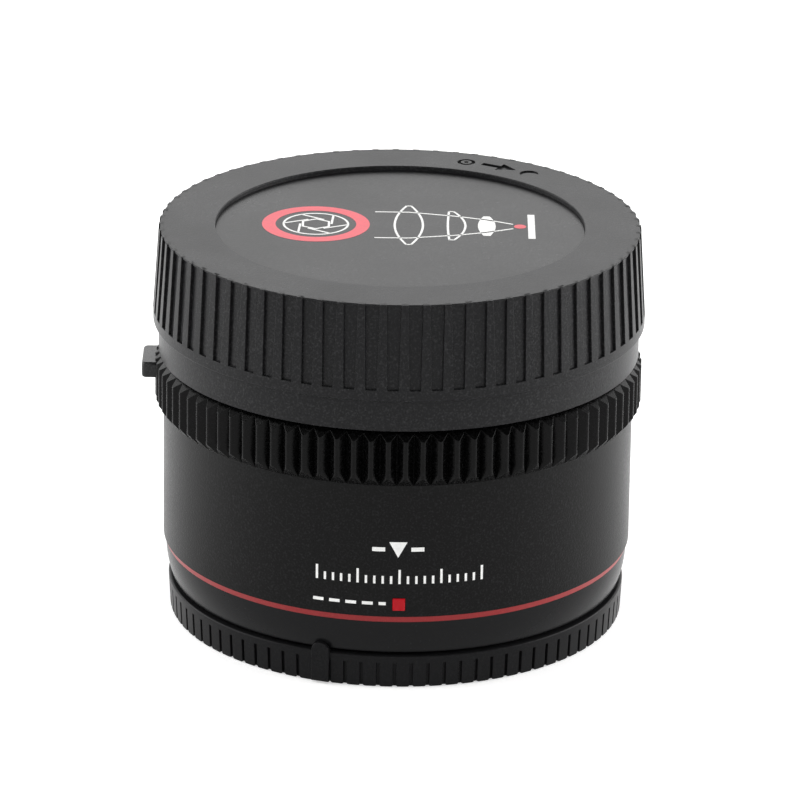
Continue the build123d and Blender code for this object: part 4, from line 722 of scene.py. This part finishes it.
class CONVERTER_OT_grip_ring(Operator):
    """Model the fluted ring: core, teeth with pointed ends, and the release tab's slot"""
    bl_idname = "converter.grip_ring"
    bl_label = "Fluted ring"

    # Bore in the middle, over the top seat and over the foot seat, and the two seats' heights
    BORE, TOP_BORE, FOOT_BORE = 31.6, 31.45, 32.45
    TOP_SEAT, FOOT_SEAT = 1.3, 2.75
    # Slope from the top face to the grooves' floor, and how far the teeth stay under that face
    SLOPE_WIDTH, SLOPE_HEIGHT = 0.9, 0.7
    TEETH_BELOW_TOP = 0.35
    ROOT_WIDTH = 0.2
    # Radii, heights and turn of the slot
    SLOT_RADII = 31.3, 35.5
    SLOT_HEIGHTS = 34.64, 37.06
    SLOT_SIDE, SLOT_SPREAD = 162.74, 24.53

    def execute(self, context):
        sizes = context.scene.converter.ring
        root = RING_HIGH.x - sizes.tooth_depth / MM
        core = self.core(root)
        teeth = self.teeth(sizes, root)
        for part in (core, teeth):
            slot = open_piece("tab_slot")
            turn_block(slot, self.SLOT_RADII, self.SLOT_HEIGHTS, self.SLOT_SIDE, self.SLOT_SPREAD, 16)
            close_piece(slot)
            cut(part, slot)
        ring = join("grip_ring_machined", [core, teeth])
        finish_piece(ring, "converter", "grip_anodised", "Aluminium, black anodised", "grip_ring")
        return {"FINISHED"}

    def core(self, root):
        """Turned core, whose skin is the floor of the grooves."""
        foot, top = RING_LOW.z, RING_HIGH.z
        seat = foot + self.FOOT_SEAT
        skin = root + 0.02
        return turned("ring_core", [
            (self.BORE, seat), (self.BORE, top - self.TOP_SEAT),
            (self.TOP_BORE, top - self.TOP_SEAT), (self.TOP_BORE, top),
            (root - self.SLOPE_WIDTH, top, 0.1), (skin, top - self.SLOPE_HEIGHT),
            (skin, foot, 0.06), (self.FOOT_BORE, foot), (self.FOOT_BORE, seat),
            (self.BORE, seat)], 270)

    def teeth(self, sizes, root):
        """Teeth with narrow rounded crests, cut to a slope at both ends."""
        foot, top, tip = RING_LOW.z, RING_HIGH.z, RING_HIGH.x
        depth = tip - root
        teeth = open_piece("ring_teeth")
        pitch = FULL_TURN * tip / sizes.tooth_count
        corner = Vector((root, 0, foot)) * MM
        bpy.ops.mesh.primitive_plane_add(size=MM, location=corner)
        stretch((self.ROOT_WIDTH, pitch - sizes.groove / MM, 1), corner)
        pick(teeth, "EDGE", lambda edge: lower_end(edge, X) > root * MM)
        extrude(((depth - self.ROOT_WIDTH / 2) * MM, 0, 0))
        stretch((1, sizes.crest_share, 1), (tip * MM, 0, foot * MM))
        choose_all()
        extrude((0, 0, (top - foot) * MM))
        face_outwards()
        round_edges(teeth, sizes.crown, 3,
                    lambda edge: lower_end(edge, X) > (tip - 0.05) * MM and run(edge, Z) > MM)
        for height, side, bevel in ((foot, -1, sizes.foot_bevel),
                                    (top - self.TEETH_BELOW_TOP, 1, sizes.top_bevel)):
            choose_all()
            bpy.ops.mesh.bisect(plane_co=(root * MM, 0, height * MM),
                                plane_no=Vector((bevel / MM, 0, side * depth)).normalized(),
                                use_fill=True, clear_outer=True)
        round_edges(teeth, sizes.edge, 2,
                    lambda edge: upper_end(edge, X) > (tip - 0.3) * MM and run(edge, Z) < 1.5 * MM)
        # The cut at the foot filled that face twice, and the one that looks up goes
        pick(teeth, "FACE", lambda face: face.normal.z > 0.9
             and face.calc_center_median().z < (foot + 0.01) * MM)
        bpy.ops.mesh.delete(type="ONLY_FACE")
        repeat_round(sizes.tooth_count, 0)
        return close_piece(teeth)


class CONVERTER_OT_rear_cap(Operator):
    """Model the thin cap: floor, grooved wall, lip, claws and nub"""
    bl_idname = "converter.rear_cap"
    bl_label = "Camera side cap"

    TOP = 4.7
    FLOOR_TOP = 1.2
    WALL = 1.75
    # Shallow recess in the underside
    RECESS_RADIUS, RECESS_HEIGHT = 27.9, 0.4
    # Tube inside the wall, and the claws inside the tube
    TUBE_RADII = 27.6, 28.8
    CLAW_RADII = 26.1, 28.2
    CLAW_HEIGHTS = 3.2, 4.65
    CLAW_SIDE, CLAW_SPREAD = 25, 40
    # How far the wall leans in at its foot and under its lip
    FOOT_LEAN, LIP_LEAN = 0.25, 0.06
    NUB_SIDE = -108.3
    NUB_RADIUS = 1.3
    NUB_INNER, NUB_THICKNESS = 32.4, 0.6
    NUB_FOOT = 0.3

    def execute(self, context):
        sizes = context.scene.converter.rear_cap
        depth = sizes.groove_depth / MM
        lip = self.TOP - sizes.lip / MM
        body = self.body(depth, lip)
        panels = self.panels(sizes, depth, lip)
        claws = open_piece("rear_cap_claws")
        turn_block(claws, self.CLAW_RADII, self.CLAW_HEIGHTS, 0, self.CLAW_SPREAD, 16)
        repeat_round(4, self.CLAW_SIDE)
        close_piece(claws)
        cap = join("rear_cap_moulded", [body, panels, claws, self.nub()])
        # Takes the darker copy of the cap black, whose darker colour is painted shade
        finish_piece(cap, "bottom_cap", "cap_plastic", "Polycarbonate with painted shade, satin", "rear_cap")
        return {"FINISHED"}

    def body(self, depth, lip):
        """Turned body: floor with a shallow recess under it, wall with its lip, and tube."""
        wide = REAR_HIGH.x
        wall = wide - self.WALL
        inner, outer = self.TUBE_RADII
        floor, tube = self.FLOOR_TOP, self.CLAW_HEIGHTS[1]
        return turned("rear_cap_body", [
            (0, self.RECESS_HEIGHT), (self.RECESS_RADIUS - 0.3, self.RECESS_HEIGHT, 0.1),
            (self.RECESS_RADIUS, 0, 0.15), (wide - self.FOOT_LEAN - depth, 0, 0.15),
            (wide - self.LIP_LEAN - depth, lip), (wide - self.LIP_LEAN, lip, 0.05),
            (wide, self.TOP, 0.25), (wall, self.TOP, 0.08), (wall, floor), (outer, floor),
            (outer, tube), (inner, tube), (inner, floor), (0, floor)], 264)

    def panels(self, sizes, depth, lip):
        """Panels between the grooves, most rounded at their feet."""
        wide = REAR_HIGH.x
        pitch = FULL_TURN * wide / sizes.groove_count
        middle = Vector((wide - self.FOOT_LEAN - depth / 2, 0, 0.04)) * MM
        rise = Vector((self.FOOT_LEAN - self.LIP_LEAN, 0, lip + 0.02)) * MM
        panels = block("rear_cap_panels", middle, depth, pitch - sizes.groove_width / MM, rise)
        round_edges(panels, 0.25 * MM, 3,
                    lambda edge: upper_end(edge, Z) < 0.1 * MM and run(edge, Y) < 0.1 * MM)
        round_edges(panels, 0.1 * MM, 2,
                    lambda edge: lower_end(edge, X) > middle.x
                    and (upper_end(edge, Z) < lip * MM or run(edge, Z) > MM))
        repeat_round(sizes.groove_count, self.NUB_SIDE)
        return close_piece(panels)

    def nub(self):
        """Index nub: round on top, straight down to the foot."""
        height = REAR_HIGH.z - self.NUB_RADIUS
        inner = self.NUB_INNER * MM
        nub = open_piece("rear_cap_nub")
        bpy.ops.mesh.primitive_circle_add(
            vertices=32, radius=self.NUB_RADIUS * MM, fill_type="NGON",
            location=(inner, 0, height * MM), rotation=(0, math.pi / 2, 0))
        pick(nub, "VERT", lambda vert: vert.co.z < (height - 0.01) * MM)
        stretch((1, 1, 0), (inner, 0, self.NUB_FOOT * MM))
        choose_all()
        extrude((self.NUB_THICKNESS * MM, 0, 0))
        face_outwards()
        round_edges(nub, 0.12 * MM, 3,
                    lambda edge: lower_end(edge, X) > inner + self.NUB_THICKNESS / 2 * MM)
        turn_all(self.NUB_SIDE)
        return close_piece(nub)


class CONVERTER_OT_index_mark(Operator):
    """Model the raised red square on the barrel"""
    bl_idname = "converter.index_mark"
    bl_label = "Red square"

    # The face stands 0.18 mm proud of the barrel
    MIDDLE_RADIUS, WIDTH = 32.98, 1.75

    def execute(self, context):
        middle = Vector((self.MIDDLE_RADIUS, 0, (MARK_LOW.z + MARK_HIGH.z) / 2)) * MM
        mark = open_piece("index_mark_enamel")
        bpy.ops.mesh.primitive_cube_add(size=MM, location=middle)
        stretch((1, self.WIDTH, MARK_HIGH.z - MARK_LOW.z), middle)
        round_edges(mark, 0.16 * MM, 4, lambda edge: upper_end(edge, X) > middle.x)
        turn_all(RED_SQUARE_SIDE)
        close_piece(mark)
        finish_piece(mark, "converter", "index_red", "Red enamel", "index_mark")
        return {"FINISHED"}


class CONVERTER_OT_collar(Operator):
    """Model the collar under the red line, which curves in all the way to the mount"""
    bl_idname = "converter.collar"
    bl_label = "Collar"

    TOP_BORE, FOOT_BORE = 28.5, 31.15
    SEAT = 1.75
    STEPS = 14

    def execute(self, context):
        foot, top = COLLAR_LOW.z, COLLAR_HIGH.z
        wide, height = COLLAR_HIGH.x, top - foot
        taper = context.scene.converter.collar_taper / MM
        curve = (height ** 2 + taper ** 2) / (2 * taper)
        drops = [i / self.STEPS * height for i in range(self.STEPS)]
        skin = [(wide - curve + math.sqrt(curve ** 2 - drop ** 2), top - drop) for drop in drops]
        seat = foot + self.SEAT
        collar = turned("collar_moulded", [
            (self.TOP_BORE, top), *skin, (wide - taper, foot), (self.FOOT_BORE, foot),
            (self.FOOT_BORE, seat), (self.TOP_BORE, seat), (self.TOP_BORE, top)], 264)
        finish_piece(collar, "converter", "collar_plastic", "Polycarbonate, semi gloss", "rear_collar")
        return {"FINISHED"}


class CONVERTER_OT_release_tab(Operator):
    """Round the edges of the release tab where a thumb meets it"""
    bl_idname = "converter.release_tab"
    bl_label = "Release tab"

    # How far in from the tab's outer face its edges are rounded
    ROUNDED_DEPTH = 0.9

    def execute(self, context):
        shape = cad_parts["release_lever"].data.copy()
        shape.name = "release_tab_moulded"
        tab = bpy.data.objects.new(shape.name, shape)
        context.scene.collection.objects.link(tab)
        make_active(tab)
        bpy.ops.object.mode_set(mode="EDIT")
        choose_all()
        merge_doubles()
        bpy.ops.mesh.dissolve_limited(angle_limit=math.radians(0.5))
        side = (TAB_LOW.x + self.ROUNDED_DEPTH) * MM
        round_edges(tab, context.scene.converter.tab_edge, 4,
                    lambda edge: lower_end(edge, X) < side and run(edge, Z) < MM / 100)
        close_piece(tab)
        finish_piece(tab, "release_lever", "lever_black", "Acetal, fine matt", "release_lever")
        return {"FINISHED"}


class CONVERTER_OT_lock_spring(Operator):
    """Wind the spring of the lock pin at its length at rest"""
    bl_idname = "converter.lock_spring"
    bl_label = "Lock pin spring"

    WIRE, TURNS, WIRE_SIDES = 0.25, 5, 10

    def execute(self, context):
        low, high = cad("lock_pin_spring")
        mean = (high.x - low.x - self.WIRE) / 2
        rise = high.z - low.z - self.WIRE
        middle = ((low + high) / 2).to_2d()
        spring = open_piece("lock_spring_wound")
        bpy.ops.mesh.primitive_circle_add(vertices=self.WIRE_SIDES, radius=self.WIRE / 2 * MM,
                                          location=(mean * MM, 0, 0),
                                          rotation=(math.pi / 2, 0, 0))
        bpy.ops.object.mode_set(mode="OBJECT")
        coil = spring.modifiers.new("Coil", "SCREW")
        coil.screw_offset = rise / self.TURNS * MM
        coil.iterations = self.TURNS
        coil.steps = coil.render_steps = 24
        bpy.ops.object.modifier_apply(modifier=coil.name)
        bpy.ops.object.mode_set(mode="EDIT")
        choose_all()
        bpy.ops.mesh.fill_holes(sides=self.WIRE_SIDES)
        choose_all()
        bpy.ops.transform.translate(value=Vector((*middle, low.z + self.WIRE / 2)) * MM)
        close_piece(spring)
        finish_piece(spring, "converter", "spring_steel", "Spring steel, tempered", "lock_pin_spring")
        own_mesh(spring)
        return {"FINISHED"}


class CONVERTER_OT_disc_print(Operator):
    """Print the disc: glass outlines and rays in white, an iris in a coral ring"""
    bl_idname = "converter.disc_print"
    bl_label = "Print on the disc"

    # The drawing runs along X at this Y
    LEVEL = 1.6
    IRIS_X, IRIS_RADIUS, IRIS_HOLE, BLADES = -11.9, 4.7, 2.3, 6
    CORAL_RADIUS, CORAL_WIDTH = 7.6, 1.9
    # X, height, bulge to the left and to the right, and whether only the outline is drawn
    GLASSES = ((1.2, 17, 1.7, 1.7, True), (7.2, 12.6, 0.2, 1.7, True), (12.2, 8.4, 0.8, 0.8, False))
    # X and distance from the drawing's axis of a ray's bends
    RAY = (-3.6, 5.6), (1.2, 5.6), (7.9, 4.1), (12.2, 2.7), (15.9, 0.95)
    FOCUS_X, FOCUS_RADIUS = 16.9, 0.85
    PICTURE_X, PICTURE_HALF, PICTURE_WIDTH = 18.5, 5.2, 1
    GLASS_THICKNESS = 0.9

    def execute(self, context):
        line = context.scene.converter.ink.line / MM
        drawing = open_piece("disc_print_white")
        self.round_mark(self.IRIS_X, self.IRIS_RADIUS, line, 72)
        self.round_mark(self.IRIS_X, self.IRIS_HOLE, line, self.BLADES)
        # Each blade's edge runs from a corner of the hole out to the rim, one radian on
        for i in range(self.BLADES):
            turn = FULL_TURN * i / self.BLADES
            self.bar(self.on_iris(self.IRIS_HOLE - 0.1, turn),
                     self.on_iris(self.IRIS_RADIUS - 0.2, turn + 1), line)
        for x, height, left, right, outlined in self.GLASSES:
            self.glass(drawing, x, height, left, right, line if outlined else 0)
        for side in (-1, 1):
            bends = [(x, self.LEVEL + side * away) for x, away in self.RAY]
            for near, far in zip(bends, bends[1:]):
                self.bar(near, far, line)
        self.bar((self.PICTURE_X, self.LEVEL - self.PICTURE_HALF),
                 (self.PICTURE_X, self.LEVEL + self.PICTURE_HALF), self.PICTURE_WIDTH)
        self.lift()
        finish_piece(drawing, "top_cap", "insert_print", "White screen ink")
        accent = open_piece("disc_print_coral")
        self.round_mark(self.IRIS_X, self.CORAL_RADIUS, self.CORAL_WIDTH, 80)
        self.round_mark(self.FOCUS_X, self.FOCUS_RADIUS, 0, 32)
        self.lift()
        finish_piece(accent, "top_cap", "insert_print", "Coral screen ink")
        return {"FINISHED"}

    def on_iris(self, radius, turn):
        """A place on the iris by its distance from the middle and its turn in radians."""
        return Vector((self.IRIS_X + radius * math.cos(turn), self.LEVEL + radius * math.sin(turn)))

    def border(self, line):
        """Leaves only a border of the faces that show, or all of them when there is no line."""
        bpy.ops.mesh.select_mode(type="FACE")
        choose_all()
        if line:
            bpy.ops.mesh.inset(thickness=line * MM)
            bpy.ops.mesh.delete(type="FACE")
        put_aside()

    def round_mark(self, x, radius, line, corners):
        """A circle or an even polygon."""
        choose_none()
        bpy.ops.mesh.primitive_circle_add(vertices=corners, radius=radius * MM, fill_type="NGON",
                                          location=(x * MM, self.LEVEL * MM, 0))
        self.border(line)

    def bar(self, start, end, width):
        """A straight line with square ends."""
        start, end = Vector(start), Vector(end)
        middle = ((start + end) / 2 * MM).to_3d()
        way = end - start
        choose_none()
        bpy.ops.mesh.primitive_plane_add(size=MM, location=middle)
        stretch((way.length, width, 1), middle)
        bpy.ops.transform.rotate(value=-math.atan2(way.y, way.x), orient_axis="Z", center_override=middle)
        put_aside()

    def glass(self, piece, x, height, left, right, line):
        """Outline of a lens seen from the side, with the bulge of each face."""
        middle = (x * MM, self.LEVEL * MM, 0)
        bpy.ops.mesh.select_mode(type="VERT")
        choose_none()
        bpy.ops.mesh.primitive_plane_add(size=MM, location=middle)
        bpy.ops.mesh.subdivide(number_cuts=15)
        stretch((self.GLASS_THICKNESS, height, 1), middle)
        mesh = bmesh.from_edit_mesh(piece.data)
        for vert in mesh.verts:
            if vert.hide:
                continue
            share = (vert.co.x / MM - x) / (self.GLASS_THICKNESS / 2)
            rise = 1 - ((vert.co.y / MM - self.LEVEL) / (height / 2)) ** 2
            vert.co.x += (right if share > 0 else left) * share * rise * MM
        bmesh.update_edit_mesh(piece.data)
        choose_all()
        bpy.ops.mesh.select_mode(type="FACE")
        choose_all()
        bpy.ops.mesh.dissolve_faces()
        self.border(line)

    def lift(self):
        """Gives the ink its thickness and lays it on the disc."""
        bpy.ops.mesh.reveal()
        choose_all()
        extrude((0, 0, INK_THICKNESS * MM))
        choose_all()
        bpy.ops.transform.translate(value=(0, 0, INSERT_HIGH.z * MM))
        # Extruded upwards, every face already looks outwards
        bpy.ops.object.mode_set(mode="OBJECT")


class CONVERTER_OT_barrel_print(Operator):
    """Print the barrel: a scale of ticks, a pointer over it and a dashed guide line"""
    bl_idname = "converter.barrel_print"
    bl_label = "Print on the barrel"

    INK_SUNK = 0.05
    # Scale: ticks two degrees apart, every fifth one long
    TICKS, TICK_SIDE, TICK_PITCH = 21, -109, 2
    TICK_FOOT, SHORT_TICK, LONG_TICK = 15.9, 1.15, 2.1
    # Dashes by side and spread in degrees, beside the pointer and along the guide line
    POINTER_HEIGHTS = 20.7, 21.3
    POINTER_DASHES = (-95.6, 3.1), (-86.3, 3.1)
    GUIDE_HEIGHTS = 12.7, 13.15
    GUIDE_DASHES = (-109.9, 2.6), (-105.9, 2.6), (-101.9, 2.6), (-97.9, 2.6), (-93.9, 1.7)
    POINTER_SIDE, POINTER_HALF, POINTER_TOP, POINTER_TIP = -89.4, 1.25, 22.1, 19.8

    def execute(self, context):
        tick = context.scene.converter.ink.tick / MM
        skin = BARREL_HIGH.x
        radii = skin - self.INK_SUNK, skin + INK_THICKNESS
        ticks = open_piece("barrel_print_white")
        wide = math.degrees(tick / skin)
        for i in range(self.TICKS):
            top = self.TICK_FOOT + (self.SHORT_TICK if i % 5 else self.LONG_TICK)
            turn_block(ticks, radii, (self.TICK_FOOT, top),
                       self.TICK_SIDE + self.TICK_PITCH * i - wide / 2, wide, 1)
            put_aside()
        for heights, dashes in ((self.POINTER_HEIGHTS, self.POINTER_DASHES),
                                (self.GUIDE_HEIGHTS, self.GUIDE_DASHES)):
            for first, spread in dashes:
                turn_block(ticks, radii, heights, first, spread, 4)
                put_aside()
        corners = [(radii[0], -self.POINTER_HALF, self.POINTER_TOP),
                   (radii[0], self.POINTER_HALF, self.POINTER_TOP),
                   (radii[0], 0, self.POINTER_TIP)]
        draw_chain([*corners, corners[0]])
        choose_all()
        merge_doubles()
        bpy.ops.mesh.edge_face_add()
        extrude(((radii[1] - radii[0]) * MM, 0, 0))
        turn_all(self.POINTER_SIDE)
        close_piece(ticks)
        finish_piece(ticks, "converter", "barrel_paint", "White screen ink")
        return {"FINISHED"}


class CONVERTER_OT_stage(Operator):
    """Set up the floor, the lamps, the white background and the camera"""
    bl_idname = "converter.stage"
    bl_label = "Studio"

    # Metres and watts: name, place, width and height, power
    LAMPS = (("Back softbox", (0, 0.7, 0.42), (1.4, 0.5), 2.3),
             ("Left strip", (-0.42, 0.05, 0.13), (0.5, 0.24), 1.5),
             ("Right strip", (0.42, 0.05, 0.13), (0.5, 0.24), 2.2),
             ("Left edge light", (-0.5, -0.05, 0.6), (0.2, 0.2), 0.8),
             ("Front edge light", (0, -0.8, 0.62), (0.3, 0.15), 0.8))
    AIM = (0, 0, 0.03)
    FLOOR_DROP = 0.05
    FLOOR_GLOW = 0.42
    SURROUND_LEVEL = 0.6
    # Solved from the ellipses of the caps and the barrel in the photograph
    CAMERA_PLACE = (0, -0.7984, 0.3309)
    CAMERA_TILT, CAMERA_ROLL = 69.38, 0.8
    FOCAL_LENGTH, SIDE_SHIFT = 269.8, 0.0027

    def execute(self, context):
        scene = context.scene
        self.floor()
        scene.world = self.surroundings()
        for name, place, size, power in self.LAMPS:
            self.lamp(scene, name, place, size, power)
        scene.camera = self.camera(scene)
        scene.view_settings.view_transform = "Standard"
        return {"FINISHED"}

    def floor(self):
        """Plain pale floor that glows for the camera, so that only the object's shadow shows."""
        bpy.ops.object.select_all(action="DESELECT")
        bpy.ops.mesh.primitive_plane_add(size=6, location=(0, 0, -self.FLOOR_DROP * MM))
        floor = bpy.context.object
        floor.name = floor.data.name = "studio_floor"
        made, tree, shader, _ = start("Pale floor")
        shader.inputs["Base Color"].default_value = (*linear("E8E8E8"), 1)
        shader.inputs["Roughness"].default_value = 0.9
        shader.inputs["Emission Color"].default_value = (1, 1, 1, 1)
        glow = add(tree, "Math", {1: self.FLOOR_GLOW}, {0: self.background_rays(tree)},
                   operation="MULTIPLY")
        tree.links.new(glow.outputs[0], shader.inputs["Emission Strength"])
        floor.data.materials.append(made)

    def surroundings(self):
        """White behind and all round, and a dark ceiling, which black edges that face up need."""
        world = bpy.data.worlds.new("White studio")
        world.use_nodes = True
        tree = world.node_tree
        plain = tree.nodes["Background"]
        plain.inputs["Color"].default_value = (1, 1, 1, 1)
        place = add(tree, "TexCoord")
        split = add(tree, "SeparateXYZ", {}, {0: (place, "Generated")})
        ceiling = add(tree, "MapRange", {1: 0.6, 2: 0.88, 3: 1, 4: 0.1},
                      {0: (split, 2)}, interpolation_type="SMOOTHSTEP")
        seen = add(tree, "LightPath")
        shown = add(tree, "Math", {}, {0: (ceiling, 0), 1: (seen, "Is Camera Ray")}, operation="MAXIMUM")
        level = add(tree, "Mix", {2: self.SURROUND_LEVEL}, {0: self.background_rays(tree), 3: (shown, 0)})
        tree.links.new(level.outputs[0], plain.inputs["Strength"])
        return world

    def lamp(self, scene, name, place, size, power):
        """An area lamp that faces the object and that the camera doesn't see."""
        light = bpy.data.lights.new(name, "AREA")
        light.shape = "RECTANGLE"
        light.size, light.size_y = size
        light.energy = power
        lamp = bpy.data.objects.new(name, light)
        scene.collection.objects.link(lamp)
        lamp.visible_camera = False
        lamp.location = place
        lamp.rotation_euler = (Vector(place) - Vector(self.AIM)).to_track_quat("Z", "Y").to_euler()

    def camera(self, scene):
        """The photograph's camera."""
        view = bpy.data.cameras.new("Camera")
        view.lens = self.FOCAL_LENGTH
        view.sensor_width = 36
        view.shift_x = self.SIDE_SHIFT
        view.clip_start = 0.01
        camera = bpy.data.objects.new("Camera", view)
        scene.collection.objects.link(camera)
        tilt = Matrix.Rotation(math.radians(self.CAMERA_TILT), 4, "X")
        roll = Matrix.Rotation(math.radians(self.CAMERA_ROLL), 4, "Z")
        camera.matrix_world = Matrix.Translation(self.CAMERA_PLACE) @ tilt @ roll
        return camera

    def background_rays(self, tree):
        """One for rays from the camera, from gloss and through glass, and zero for the rest."""
        seen = add(tree, "LightPath")
        reach = add(tree, "Math", {}, {0: (seen, "Is Camera Ray"), 1: (seen, "Is Glossy Ray")},
                    operation="MAXIMUM")
        return add(tree, "Math", {}, {0: (reach, 0), 1: (seen, "Is Transmission Ray")},
                   operation="MAXIMUM"), 0


class CONVERTER_PT_panel(Panel):
    """Lists the steps in the sidebar."""
    bl_idname = "CONVERTER_PT_panel"
    bl_label = "Converter"
    bl_space_type = "VIEW_3D"
    bl_region_type = "UI"
    bl_category = "Converter"

    def draw(self, context):
        for step in STEPS:
            self.layout.operator(step.bl_idname)


STEPS = (
    CONVERTER_OT_finishes,
    CONVERTER_OT_front_cap,
    CONVERTER_OT_grip_ring,
    CONVERTER_OT_rear_cap,
    CONVERTER_OT_index_mark,
    CONVERTER_OT_collar,
    CONVERTER_OT_release_tab,
    CONVERTER_OT_lock_spring,
    CONVERTER_OT_disc_print,
    CONVERTER_OT_barrel_print,
    CONVERTER_OT_stage,
)
CLASSES = (CapSizes, RingSizes, RearCapSizes, InkSizes, ConverterSettings, *STEPS, CONVERTER_PT_panel)


def register():
    """Registers the classes and puts the settings on the scene."""
    for kind in CLASSES:
        bpy.utils.register_class(kind)
    bpy.types.Scene.converter = PointerProperty(type=ConverterSettings)


def unregister():
    """Takes the settings and classes away again."""
    del bpy.types.Scene.converter
    for kind in reversed(CLASSES):
        bpy.utils.unregister_class(kind)


def main():
    """Builds every piece in order."""
    register()
    bpy.ops.converter.finishes()
    bpy.ops.converter.front_cap()
    bpy.ops.converter.grip_ring()
    bpy.ops.converter.rear_cap()
    bpy.ops.converter.index_mark()
    bpy.ops.converter.collar()
    bpy.ops.converter.release_tab()
    bpy.ops.converter.lock_spring()
    bpy.ops.converter.disc_print()
    bpy.ops.converter.barrel_print()
    bpy.ops.converter.stage()


if __name__ == "__main__":
    main()
